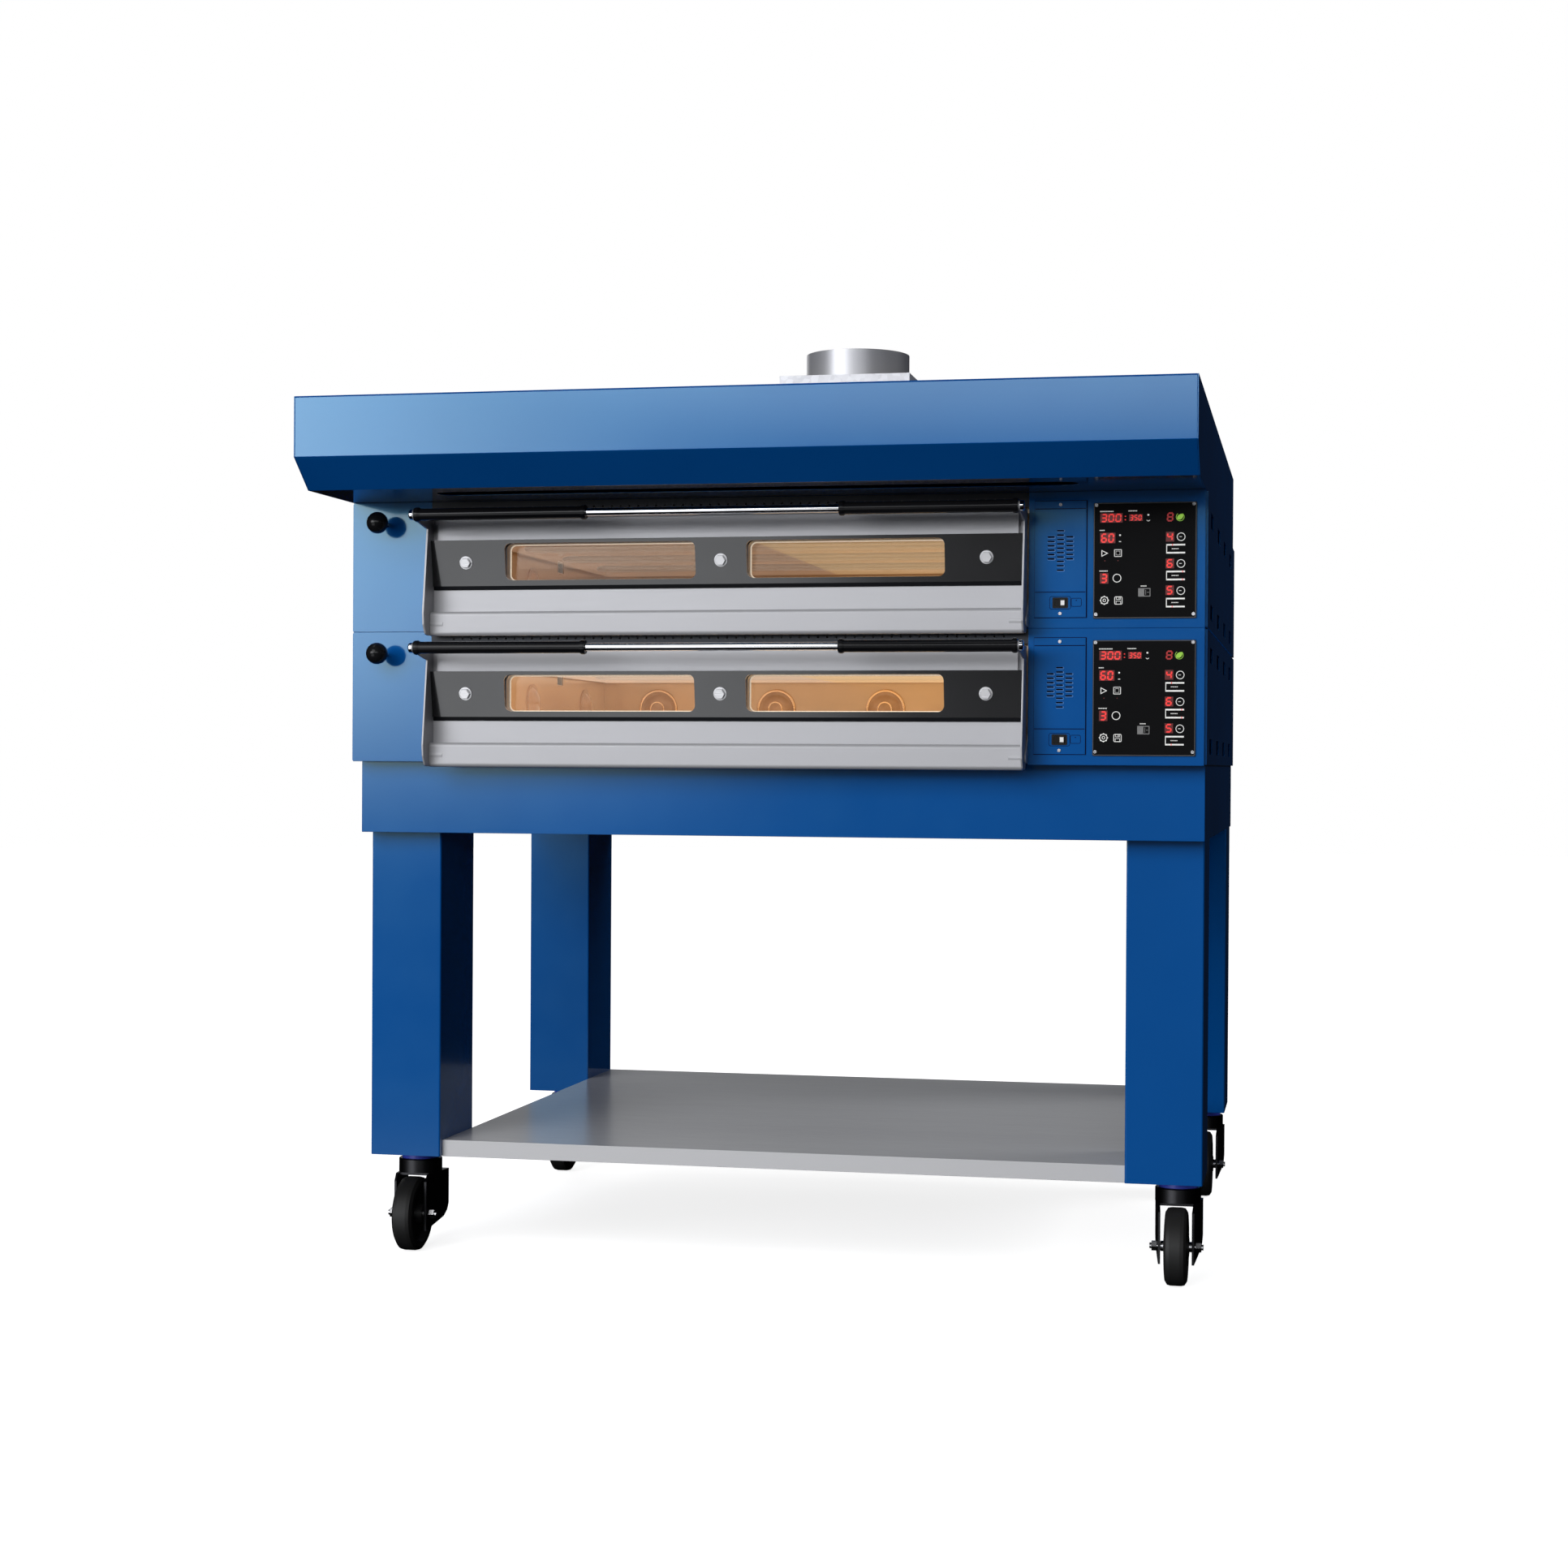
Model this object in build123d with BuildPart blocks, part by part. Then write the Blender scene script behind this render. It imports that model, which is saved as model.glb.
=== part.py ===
from build123d import *
import os
from math import hypot, sqrt

# Two-deck electric pizza oven with a fume hood, on an open stand with four swivel castors.
# Origin on the floor, midway between the hood's front and the decks' back; +X right, +Y to the back, +Z up.

# Driving dimensions, in millimetres
deck_width = 1500
deck_height = 230
deck_depth = 1230
deck_count = 2
stand_height = 903
hood_overhang = 272
hood_height = 152
sheet = 2
seam = 1

deck_front = (hood_overhang - deck_depth) / 2
deck_back = deck_front + deck_depth
half_width = deck_width / 2
deck_floors = [stand_height + deck_height * level for level in range(deck_count)]
decks_top = stand_height + deck_height * deck_count

# Stand
apron_height = 127
apron_setback = 45
apron_flange = 45
apron_front = deck_front + apron_setback
apron_depth = deck_back - apron_front
leg_width = 132
leg_depth = 182
leg_wall = 3
leg_setback = 93
leg_floor_plate = 6
leg_bottom = 188
leg_top = stand_height - sheet
leg_x = half_width - sheet - leg_width / 2
leg_front_y = deck_front + leg_setback + leg_depth / 2
leg_rear_y = deck_back - sheet - leg_depth / 2
leg_places = [(x, y) for y in (leg_front_y, leg_rear_y) for x in (-leg_x, leg_x)]
shelf_thickness = 30
shelf_bottom = 187
shelf_front = deck_front + 106
shelf_width = 2 * (leg_x - leg_width / 2)
leg_corner = 3
bearer_width = 40
bearer_height = 40
rib_width = 40
rib_lift = 4

# Castors
wheel_radius = 67.5
wheel_width = 38
hub_width = 44
castor_trail = 42
castor_x = 700
castor_front_y = deck_front + 225
castor_rear_y = deck_front + 1190
king_pin_radius = 8
axle_radius = 5
running_gap = 0.3
fit_slack = 0.2
head_slack = 0.5
fit_gap = 0.06
head_radius = 40
head_top = 166
head_height = 25
fork_plate = 4
fork_tip_z = 38
fork_front = -56
fork_rear = 38
fork_front_half = 31
fork_rear_half = 42
fork_bevel = (12, 13)
fork_foot = ((38, 76), (32, 64), (18, 54))
crown_front = (32, -38)
swivel_disc_radius = 34
stem_radius = 6
stem_length = 22
stem_nut_radius = 10.5
stem_nut_height = 10
pin_head_radius = 12
pin_head_height = 4.2
pin_reach = 20.5
head_bevel = 1.5
axle_half_length = 46.5
axle_nut_radius = 9.2
axle_nut_height = 9
spacer_radius = 9
plate_lean = 1.2
hub_radius = 16
web_half = 9
web_inner_radius = 20
web_outer_radius = 46
rim_radius = 50

# Door opening and doors, measured from the deck's front plane and the deck's floor
opening_left = -603
opening_right = 456
opening_top = 205
door_center = -73
door_length = 1053
arm_thickness = 3
hinge_y = -20
hinge_z = 12
hinge_pin_radius = 5
door_bottom_radius = 21
door_top = 200
band_top = (-25, 159)
band_bottom = (-12, 79.3)
band_thickness = 3
window_width = 343
window_height = 64
window_spacing = 434
window_z = 121
window_corner = 11
bolt_z = 120
bolt_spacing = 460
door_back = 20
skirt_front = -28
skirt_top = 34
front_face = -8
pan_z = 179.5
pan_height = 41
pan_depth = 9
boss_radius = 9
bolt_washer = (11.5, 1.6)
bolt_head = (9.6, 6.4)
bolt_shank = (4, 9)
bolt_hole_radius = 4.2
bolt_bevel = 0.9
glass_thickness = 4
glass_back = 18
handle_y = -105
handle_z = 197
handle_radius = 7
handle_length = 1067
grip_radius = 10.5
left_grip_length = 308
right_grip_length = 300
handle_eye_radius = 8
cap_radius = 9
cap_round = 3
bead_radii = (11.6, 12.6)
bead_length = 9
bead_core = 5

# Baking chamber, measured from the deck's front plane and the deck's floor
chamber_width = 1040
chamber_depth = 1056
chamber_front = 24
chamber_floor = 36
chamber_roof = 190
insulation = 45
stone_bottom = 50
stone_thickness = 20
element_radius = 4
element_half_pitch = 40
element_places = [180, 430, 680, 930]
element_heights = [44, 181]
lamp_radius = 35
lamp_rise = 13
lamp_z = 118
back_lamp_places = [-471, -209, 29, 291]
side_lamp_places = [560, 930]

# Casing panels
tray_width = 14
side_vent_places = [(y, z) for y in (160, 440, 720, 1000) for z in (33, 189)]
side_vent_length = 100
side_vent_height = 26
outer_return = 7.5
inner_return = 22
back_setback = 30
back_margin = 22
back_slot_x = 600
back_slot_length = 80
back_slot_height = 5
gland_x = 660
gland_z = 55
gland_radius = 10
gland_flange_radius = 14
gland_nut_radius = 16
gland_bore_radius = 6.5
pipe_radius = 22
tunnel_width = 40
tunnel_height = 24

# Controls on the fascias
knob_x = -688
knob_z = 190
knob_radius = 19
knob_reach = 46
knob_neck = (8, 17.2)
knob_neck_end = 21
damper_radius = 24
damper_thickness = 2.5
vent_rod_radius = 4
damper_y = 795
panel_x = 650.25
panel_z = 113
panel_width = 171
panel_height = 194
panel_thickness = 3
cover_x = 509.3
cover_z = 116.3
cover_width = 86.6
cover_height = 195.4
slot_length = 12
slot_height = 2.5
slot_pitch = 7.35
slots_z = 131
slots_aside = 31.2
slots_aside_lift = 4.2
service_width = 50
service_height = 78
panel_margin = 12
panel_bevel = 0.6
pressed_depth = 0.8
pressed_lines = [201, 61]
screw_radius = 1.5
screw_hole_radius = 1.6
panel_screw_head = (2.9, 1.6)
cover_screw_head = (2.7, 1.5)
switch_x = 509.5
switch_z = 43
switch_pivot_y = 2
switch_tilt = 6
switch_opening = (22.4, 15.4)
switch_flange = (26, 18)
switch_body = (22, 15)
switch_well = (19.8, 12.4)
switch_body_depth = 20
switch_well_depth = 9
lug_radius = 1.2
lug_height = 1.2
lug_offset = 6.2
blade_spacing = 8
blade_size = (0.8, 6)
board_size = (162, 184)
board_y = 26

# Hood
hood_lip_setback = 209
hood_lip_height = 50
fume_slot_length = 1100
fume_slot_width = 60
fume_slot_setback = 120

# Flue
flue_x = 52
flue_setback = 600
flue_wall = 1.5
flue_rim = 5
flange_width = 9
flange_thickness = 1.2
rivet_radius = 3
rivet_height = 1.2
rivet_spacing = 100
rivet_drop = 14
flue_y = deck_front + flue_setback
flue_box_width = 250
flue_box_depth = 290
flue_box_height = 125
collar_radius = 100
collar_height = 56

door_half = door_length / 2
shell_half = door_half - arm_thickness
chamber_left = door_center - chamber_width / 2
chamber_right = door_center + chamber_width / 2
chamber_back = chamber_front + chamber_depth
hood_bottom = decks_top
hood_top = hood_bottom + hood_height


def save(piece, name):
    """Label a finished piece and write it as one STEP file."""
    piece.part.label = name
    export_step(piece.part, "parts/" + name + ".step")


def front_plane(x, y, z, floor):
    """Plane that faces the front of the oven, x to the right and y up."""
    return Plane(origin=(x, deck_front + y, floor + z), x_dir=(1, 0, 0), z_dir=(0, -1, 0))


def side_plane(x, floor):
    """Plane across the oven, with its x along +Y from the deck's front plane and its y up."""
    return Plane(origin=(x, deck_front, floor), x_dir=(0, 1, 0), z_dir=(1, 0, 0))


os.makedirs("parts", exist_ok=True)


# ---------------------------------------------------------------- stand

with BuildPart() as stand_frame:
    with BuildSketch(Plane.XY.offset(stand_height - apron_height)):
        with Locations((0, apron_front + apron_depth / 2)):
            Rectangle(deck_width, apron_depth)
            Rectangle(deck_width - 2 * sheet, apron_depth - 2 * sheet, mode=Mode.SUBTRACT)
    extrude(amount=apron_height)
    with BuildSketch(Plane.XY.offset(stand_height - sheet)):
        with Locations((0, apron_front + apron_depth / 2)):
            Rectangle(deck_width, apron_depth)
            Rectangle(deck_width - 2 * apron_flange, apron_depth - 2 * apron_flange, mode=Mode.SUBTRACT)
    extrude(amount=sheet)
    with BuildSketch(Plane.XY.offset(stand_height - apron_height)):
        with Locations((0, apron_front + apron_flange / 2)):
            Rectangle(deck_width - 2 * sheet, apron_flange)
    extrude(amount=sheet)
    # Two channel bearers run from front to back under the decks.
    for bearer_x in (-deck_width / 5, deck_width / 5):
        with BuildSketch(Plane.XY.offset(stand_height - bearer_height)):
            with Locations((bearer_x, apron_front + apron_depth / 2)):
                Rectangle(bearer_width, apron_depth - 2 * sheet)
                Rectangle(bearer_width - 2 * sheet, apron_depth, mode=Mode.SUBTRACT)
        extrude(amount=bearer_height - sheet)
        with BuildSketch(Plane.XY.offset(stand_height - sheet)):
            with Locations((bearer_x, apron_front + apron_depth / 2)):
                Rectangle(bearer_width, apron_depth - 2 * sheet)
        extrude(amount=sheet)
save(stand_frame, "stand_frame")

with BuildPart() as stand_legs:
    with BuildSketch(Plane.XY.offset(leg_bottom)):
        with Locations(*leg_places):
            RectangleRounded(leg_width, leg_depth, leg_corner)
    extrude(amount=leg_top - leg_bottom)
    with BuildSketch(Plane.XY.offset(leg_bottom + leg_floor_plate)):
        with Locations(*leg_places):
            Rectangle(leg_width - 2 * leg_wall, leg_depth - 2 * leg_wall)
    extrude(amount=leg_top - leg_bottom - leg_floor_plate, mode=Mode.SUBTRACT)
    castor_places = [(x, y) for y in (castor_front_y, castor_rear_y) for x in (-castor_x, castor_x)]
    with BuildSketch(Plane.XY.offset(leg_bottom)):
        with Locations(*castor_places):
            Circle(stem_radius + fit_slack)
    extrude(amount=leg_floor_plate, mode=Mode.SUBTRACT)
save(stand_legs, "stand_legs")

with BuildPart() as lower_shelf:
    shelf_depth = deck_back - shelf_front
    shelf_y = shelf_front + shelf_depth / 2
    with BuildSketch(Plane.XY.offset(shelf_bottom)):
        with Locations((0, shelf_y)):
            Rectangle(shelf_width, shelf_depth)
    extrude(amount=shelf_thickness)
    with BuildSketch(Plane.XY.offset(shelf_bottom)):
        with Locations((0, shelf_y)):
            Rectangle(shelf_width - 2 * sheet, shelf_depth - 2 * sheet)
    extrude(amount=shelf_thickness - sheet, mode=Mode.SUBTRACT)
    # Folded stiffening ribs under the tray.
    for rib_x in (-shelf_width / 4, 0, shelf_width / 4):
        with BuildSketch(Plane.XY.offset(shelf_bottom + rib_lift)):
            with Locations((rib_x - rib_width / 2, shelf_y), (rib_x + rib_width / 2, shelf_y)):
                Rectangle(sheet, shelf_depth - 2 * sheet)
        extrude(amount=shelf_thickness - sheet - rib_lift)
        with BuildSketch(Plane.XY.offset(shelf_bottom + rib_lift)):
            with Locations((rib_x, shelf_y)):
                Rectangle(rib_width, shelf_depth - 2 * sheet)
        extrude(amount=sheet)
save(lower_shelf, "lower_shelf")


# ---------------------------------------------------------------- castors

with BuildPart() as castor_top_plates:
    plate_bottom = head_top + running_gap
    with BuildSketch(Plane.XY.offset(plate_bottom)):
        with Locations(*castor_places):
            Circle(swivel_disc_radius)
    extrude(amount=leg_bottom - plate_bottom)
    # Threaded stem and its nut inside the leg.
    with BuildSketch(Plane.XY.offset(leg_bottom)):
        with Locations(*castor_places):
            Circle(stem_radius)
    extrude(amount=stem_length)
    with BuildSketch(Plane.XY.offset(leg_bottom + leg_floor_plate)):
        with Locations(*castor_places):
            RegularPolygon(stem_nut_radius, 6)
    extrude(amount=stem_nut_height)
    # King pin with its retaining head inside the castor head.
    with BuildSketch(Plane.XY.offset(head_top - pin_reach)):
        with Locations(*castor_places):
            Circle(king_pin_radius)
    extrude(amount=pin_reach + running_gap + fit_slack)
    with BuildSketch(Plane.XY.offset(head_top - head_height + head_slack)):
        with Locations(*castor_places):
            Circle(pin_head_radius)
    extrude(amount=pin_head_height)
save(castor_top_plates, "castor_top_plates")


def make_castor(tag, x, y):
    """One swivel castor at rest, with its wheel trailing towards the front."""
    axle_y = y - castor_trail
    plate_plane = Plane(origin=(x, y, fork_tip_z))
    plates_top = head_top - head_height
    with BuildPart() as castor_fork:
        with BuildSketch(plate_plane):
            for side in (-1, 1):
                with BuildLine():
                    Polyline(
                        (side * fork_front_half, fork_front),
                        (side * fork_rear_half, fork_rear),
                        (side * (fork_rear_half - fork_plate), fork_rear),
                        (side * (fork_front_half - fork_plate), fork_front),
                        close=True,
                    )
                make_face()
        extrude(amount=plates_top - fork_tip_z)
        # Side outline of the plates: upright front edge, slanted foot and bevelled top corner.
        with BuildSketch(Plane(origin=(x, y, 0), x_dir=(0, 1, 0), z_dir=(1, 0, 0))):
            with BuildLine():
                Polyline(
                    (fork_front, fork_tip_z),
                    (fork_front, plates_top - fork_bevel[1]),
                    (fork_front + fork_bevel[0], plates_top),
                    (fork_rear, plates_top),
                    *fork_foot,
                    close=True,
                )
            make_face()
        extrude(amount=2 * fork_rear_half, both=True, mode=Mode.INTERSECT)
        with BuildSketch(Plane(origin=(x, y, plates_top - fork_plate))):
            with BuildLine():
                Polyline(
                    (-crown_front[0], crown_front[1]),
                    crown_front,
                    (fork_rear_half - seam, fork_rear),
                    (seam - fork_rear_half, fork_rear),
                    close=True,
                )
            make_face()
        extrude(amount=fork_plate)
        with BuildSketch(Plane(origin=(x, y, plates_top))):
            Circle(head_radius)
        extrude(amount=head_height)
        head_rims = castor_fork.faces().sort_by(Axis.Z)[-1].edges()
        chamfer(head_rims, head_bevel)
        with BuildSketch(Plane(origin=(x, y, plates_top - fork_plate))):
            Circle(pin_head_radius + head_slack)
        extrude(amount=fork_plate + pin_head_height + 1.1, mode=Mode.SUBTRACT)
        with BuildSketch(Plane(origin=(x, y, plates_top))):
            Circle(king_pin_radius + fit_gap)
        extrude(amount=head_height, mode=Mode.SUBTRACT)
        with BuildSketch(Plane(origin=(x, axle_y, wheel_radius), x_dir=(0, 1, 0), z_dir=(1, 0, 0))):
            Circle(axle_radius)
        extrude(amount=2 * fork_rear_half, both=True, mode=Mode.SUBTRACT)
    save(castor_fork, "castor_fork_" + tag)

    axle_plane = Plane(origin=(x, axle_y, wheel_radius), x_dir=(0, 1, 0), z_dir=(1, 0, 0))
    spacer_inner = hub_width / 2 + running_gap
    axle_share = (-castor_trail - fork_front) / (fork_rear - fork_front)
    spacer_outer = fork_front_half + (fork_rear_half - fork_front_half) * axle_share - fork_plate
    nut_start = spacer_outer + fork_plate
    with BuildPart() as castor_axle:
        with BuildSketch(axle_plane):
            Circle(axle_radius)
        extrude(amount=axle_half_length, both=True)
        for side in (-1, 1):
            with BuildSketch(axle_plane.offset(side * spacer_inner)):
                Circle(spacer_radius)
            extrude(amount=side * (spacer_outer - spacer_inner - plate_lean))
            with BuildSketch(axle_plane.offset(side * (nut_start + plate_lean))):
                RegularPolygon(axle_nut_radius, 6)
            extrude(amount=side * axle_nut_height)
    save(castor_axle, "castor_axle_" + tag)

    wheel_plane = Plane(origin=(x, axle_y, wheel_radius), x_dir=(1, 0, 0), z_dir=(0, -1, 0))
    tread_half = wheel_width / 2
    # From the hub out to the tread: half-width and radius.
    wheel_profile = [
        (hub_width / 2, hub_radius),
        (web_half, web_inner_radius),
        (web_half, web_outer_radius),
        (tread_half - 3, rim_radius),
        (tread_half, rim_radius + 2),
        (tread_half, rim_radius + 10),
        (tread_half - 4, wheel_radius - 1.3),
        (tread_half - 10, wheel_radius),
    ]
    with BuildPart() as castor_wheel:
        with BuildSketch(wheel_plane):
            with BuildLine():
                Polyline(
                    (-hub_width / 2, axle_radius + fit_gap),
                    *[(-across, radius) for across, radius in wheel_profile],
                    *reversed(wheel_profile),
                    (hub_width / 2, axle_radius + fit_gap),
                    close=True,
                )
            make_face()
        revolve(axis=Axis((x, axle_y, wheel_radius), (1, 0, 0)))
    save(castor_wheel, "castor_wheel_" + tag)


make_castor("front_left", -castor_x, castor_front_y)
make_castor("front_right", castor_x, castor_front_y)
make_castor("rear_left", -castor_x, castor_rear_y)
make_castor("rear_right", castor_x, castor_rear_y)


# ---------------------------------------------------------------- hood and flue

hood_front_y = deck_front - hood_overhang
hood_lip_y = deck_front - hood_lip_setback
hood_face_bottom = hood_bottom + hood_lip_height
hood_inside_width = deck_width + 2 * seam - 2 * sheet
slot_center_y = deck_front - fume_slot_setback

with BuildPart() as hood_front:
    # One folded sheet: face, sloping lip and underside up to the decks.
    with BuildSketch(Plane.YZ.offset(-hood_inside_width / 2)):
        with BuildLine() as fold:
            Polyline(
                (hood_front_y, hood_top - sheet),
                (hood_front_y, hood_face_bottom),
                (hood_lip_y, hood_bottom),
                (deck_front - seam, hood_bottom),
            )
            offset(amount=sheet, side=Side.LEFT)
        make_face()
    extrude(amount=hood_inside_width)
    with BuildSketch(Plane.XY.offset(hood_bottom)):
        with Locations((0, slot_center_y)):
            SlotOverall(fume_slot_length, fume_slot_width)
    extrude(amount=sheet, mode=Mode.SUBTRACT)
save(hood_front, "hood_front")

with BuildPart() as hood_sides:
    for side_x in (-half_width - seam, half_width + seam - sheet):
        with BuildSketch(Plane.YZ.offset(side_x)):
            with BuildLine():
                Polyline(
                    (hood_front_y, hood_top),
                    (hood_front_y, hood_face_bottom),
                    (hood_lip_y, hood_bottom),
                    (deck_back, hood_bottom),
                    (deck_back, hood_top),
                    close=True,
                )
            make_face()
        extrude(amount=sheet)
save(hood_sides, "hood_sides")

with BuildPart() as hood_cover:
    with BuildSketch(Plane.XY.offset(hood_top - sheet)):
        with Locations((0, (hood_front_y + deck_back) / 2)):
            Rectangle(hood_inside_width, deck_back - hood_front_y)
        with Locations((flue_x, flue_y)):
            Rectangle(flue_box_width - 2 * flue_rim, flue_box_depth - 2 * flue_rim, mode=Mode.SUBTRACT)
    extrude(amount=sheet)
    with BuildSketch(Plane.XY.offset(hood_bottom)):
        with Locations((0, deck_back - sheet / 2)):
            Rectangle(hood_inside_width, sheet)
    extrude(amount=hood_height)
save(hood_cover, "hood_cover")

with BuildPart() as flue_box:
    with BuildSketch(Plane.XY.offset(hood_top)):
        with Locations((flue_x, flue_y)):
            Rectangle(flue_box_width, flue_box_depth)
            Rectangle(flue_box_width - 2 * flue_wall, flue_box_depth - 2 * flue_wall, mode=Mode.SUBTRACT)
    extrude(amount=flue_box_height)
    with BuildSketch(Plane.XY.offset(hood_top + flue_box_height - flue_wall)):
        with Locations((flue_x, flue_y)):
            Rectangle(flue_box_width, flue_box_depth)
            Circle(collar_radius - sheet, mode=Mode.SUBTRACT)
    extrude(amount=flue_wall)
    # Blind rivets along the top of the front.
    rivet_z = hood_height + flue_box_height - rivet_drop
    for rivet_x in (flue_x - rivet_spacing, flue_x, flue_x + rivet_spacing):
        with BuildSketch(front_plane(rivet_x, flue_setback - flue_box_depth / 2, rivet_z, decks_top)):
            Circle(rivet_radius)
        extrude(amount=rivet_height)
save(flue_box, "flue_box")

with BuildPart() as flue_collar:
    with BuildSketch(Plane.XY.offset(hood_top + flue_box_height)):
        with Locations((flue_x, flue_y)):
            Circle(collar_radius)
            Circle(collar_radius - sheet, mode=Mode.SUBTRACT)
    extrude(amount=collar_height)
    with BuildSketch(Plane.XY.offset(hood_top + flue_box_height)):
        with Locations((flue_x, flue_y)):
            Circle(collar_radius + flange_width)
            Circle(collar_radius - sheet, mode=Mode.SUBTRACT)
    extrude(amount=flange_thickness)
save(flue_collar, "flue_collar")


# ---------------------------------------------------------------- deck casings

deck_middle_y = deck_front + deck_depth / 2

with BuildPart() as base_plates:
    for floor in deck_floors:
        with BuildSketch(Plane.XY.offset(floor)):
            with Locations((0, deck_middle_y)):
                Rectangle(deck_width, deck_depth - 2 * sheet)
        extrude(amount=sheet)
save(base_plates, "base_plates")

with BuildPart() as top_plates:
    for floor in deck_floors:
        with BuildSketch(Plane.XY.offset(floor + deck_height - sheet)):
            with Locations((0, deck_middle_y)):
                Rectangle(deck_width, deck_depth - 2 * sheet)
        extrude(amount=sheet)
save(top_plates, "top_plates")

with BuildPart() as side_panels:
    tray_depth = deck_depth - 8
    tray_middle_y = deck_back - tray_depth / 2
    tray_wall_x = half_width + 4
    for floor in deck_floors:
        for side in (-1, 1):
            with BuildSketch(Plane.XY.offset(floor + sheet)):
                with Locations((side * (tray_wall_x - tray_width / 2), tray_middle_y)):
                    Rectangle(tray_width, tray_depth)
            extrude(amount=deck_height - 2 * sheet)
            with BuildSketch(Plane.XY.offset(floor + 2 * sheet)):
                with Locations((side * (tray_wall_x - tray_width / 2 - sheet), tray_middle_y)):
                    Rectangle(tray_width, tray_depth - 2 * sheet)
            extrude(amount=deck_height - 4 * sheet, mode=Mode.SUBTRACT)
            # Two rows of four cooling vents.
            with BuildSketch(side_plane(side * half_width, floor)):
                with Locations(*side_vent_places):
                    RectangleRounded(side_vent_length, side_vent_height, sheet)
            extrude(amount=side * 8, mode=Mode.SUBTRACT)
save(side_panels, "side_panels")

with BuildPart() as back_panels:
    for floor in deck_floors:
        with BuildSketch(front_plane(0, deck_depth - back_setback, deck_height / 2, floor)):
            Rectangle(deck_width - back_margin, deck_height - 2 * sheet)
            with Locations((knob_x, knob_z - deck_height / 2)):
                Circle(pipe_radius + fit_slack, mode=Mode.SUBTRACT)
            with Locations((gland_x, gland_z - deck_height / 2)):
                Circle(gland_radius + fit_slack, mode=Mode.SUBTRACT)
            with GridLocations(0, slot_pitch * 2, 1, 8):
                with Locations((back_slot_x, 0)):
                    SlotOverall(back_slot_length, back_slot_height, mode=Mode.SUBTRACT)
        extrude(amount=sheet)
save(back_panels, "back_panels")

with BuildPart() as fascia_panels:
    fascia_height = deck_height - seam
    left_width = opening_left + half_width
    right_width = half_width - opening_right
    for floor in deck_floors:
        with BuildSketch(front_plane(0, sheet, deck_height / 2, floor)):
            with Locations((opening_left - left_width / 2, 0)):
                Rectangle(left_width, fascia_height)
            with Locations((opening_right + right_width / 2, 0)):
                Rectangle(right_width, fascia_height)
        extrude(amount=sheet)
        # Folded returns: shallow outside, deeper beside the door.
        with BuildSketch(front_plane(0, outer_return, deck_height / 2, floor)):
            with Locations((sheet / 2 - half_width, 0), (half_width - sheet / 2, 0)):
                Rectangle(sheet, deck_height - 4 * sheet)
        extrude(amount=outer_return)
        with BuildSketch(front_plane(0, inner_return, deck_height / 2, floor)):
            with Locations((opening_left - sheet / 2, 0), (opening_right + sheet / 2, 0)):
                Rectangle(sheet, deck_height - 4 * sheet)
        extrude(amount=22)
        # Openings behind the knob rod, the service cover, the switch and the control panel.
        with BuildSketch(front_plane(0, sheet, 0, floor)):
            with Locations((knob_x, knob_z)):
                Circle(vent_rod_radius + running_gap)
            with Locations((cover_x, slots_z)):
                Rectangle(service_width, service_height)
            with Locations((switch_x, switch_z)):
                Rectangle(*switch_opening)
            with Locations((panel_x, panel_z)):
                Rectangle(panel_width - 2 * panel_margin, panel_height - 2 * panel_margin)
        extrude(amount=sheet, mode=Mode.SUBTRACT)
save(fascia_panels, "fascia_panels")

with BuildPart() as front_trims:
    trim_width = opening_right - opening_left
    trim_x = (opening_left + opening_right) / 2
    trim_height = deck_height - opening_top - seam / 2
    for floor in deck_floors:
        with BuildSketch(front_plane(trim_x, sheet, opening_top + trim_height / 2, floor)):
            Rectangle(trim_width, trim_height)
            with GridLocations(16, 8, 62, 1):
                Circle(1.6, mode=Mode.SUBTRACT)
        extrude(amount=sheet)
        with BuildSketch(front_plane(trim_x, 22, opening_top + sheet / 2, floor)):
            Rectangle(trim_width, sheet)
        extrude(amount=22)
save(front_trims, "front_trims")


# ---------------------------------------------------------------- baking chambers

element_holes = [(y, z) for z in element_heights for y0 in element_places
                 for y in (y0 - element_half_pitch, y0 + element_half_pitch)]
back_lamps = [(x, lamp_z) for x in back_lamp_places]
side_lamps = [(y, lamp_z) for y in side_lamp_places]
steam_y = 750
steam_z = 171
sheet_joint = 0.2
stone_bar_places = [55, 305, 555, 805, 1055]
liner_height = chamber_roof - chamber_floor
liner_depth = chamber_depth - 2 * sheet_joint
chamber_middle_y = chamber_front + chamber_depth / 2
chamber_middle_z = (chamber_floor + chamber_roof) / 2

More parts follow.
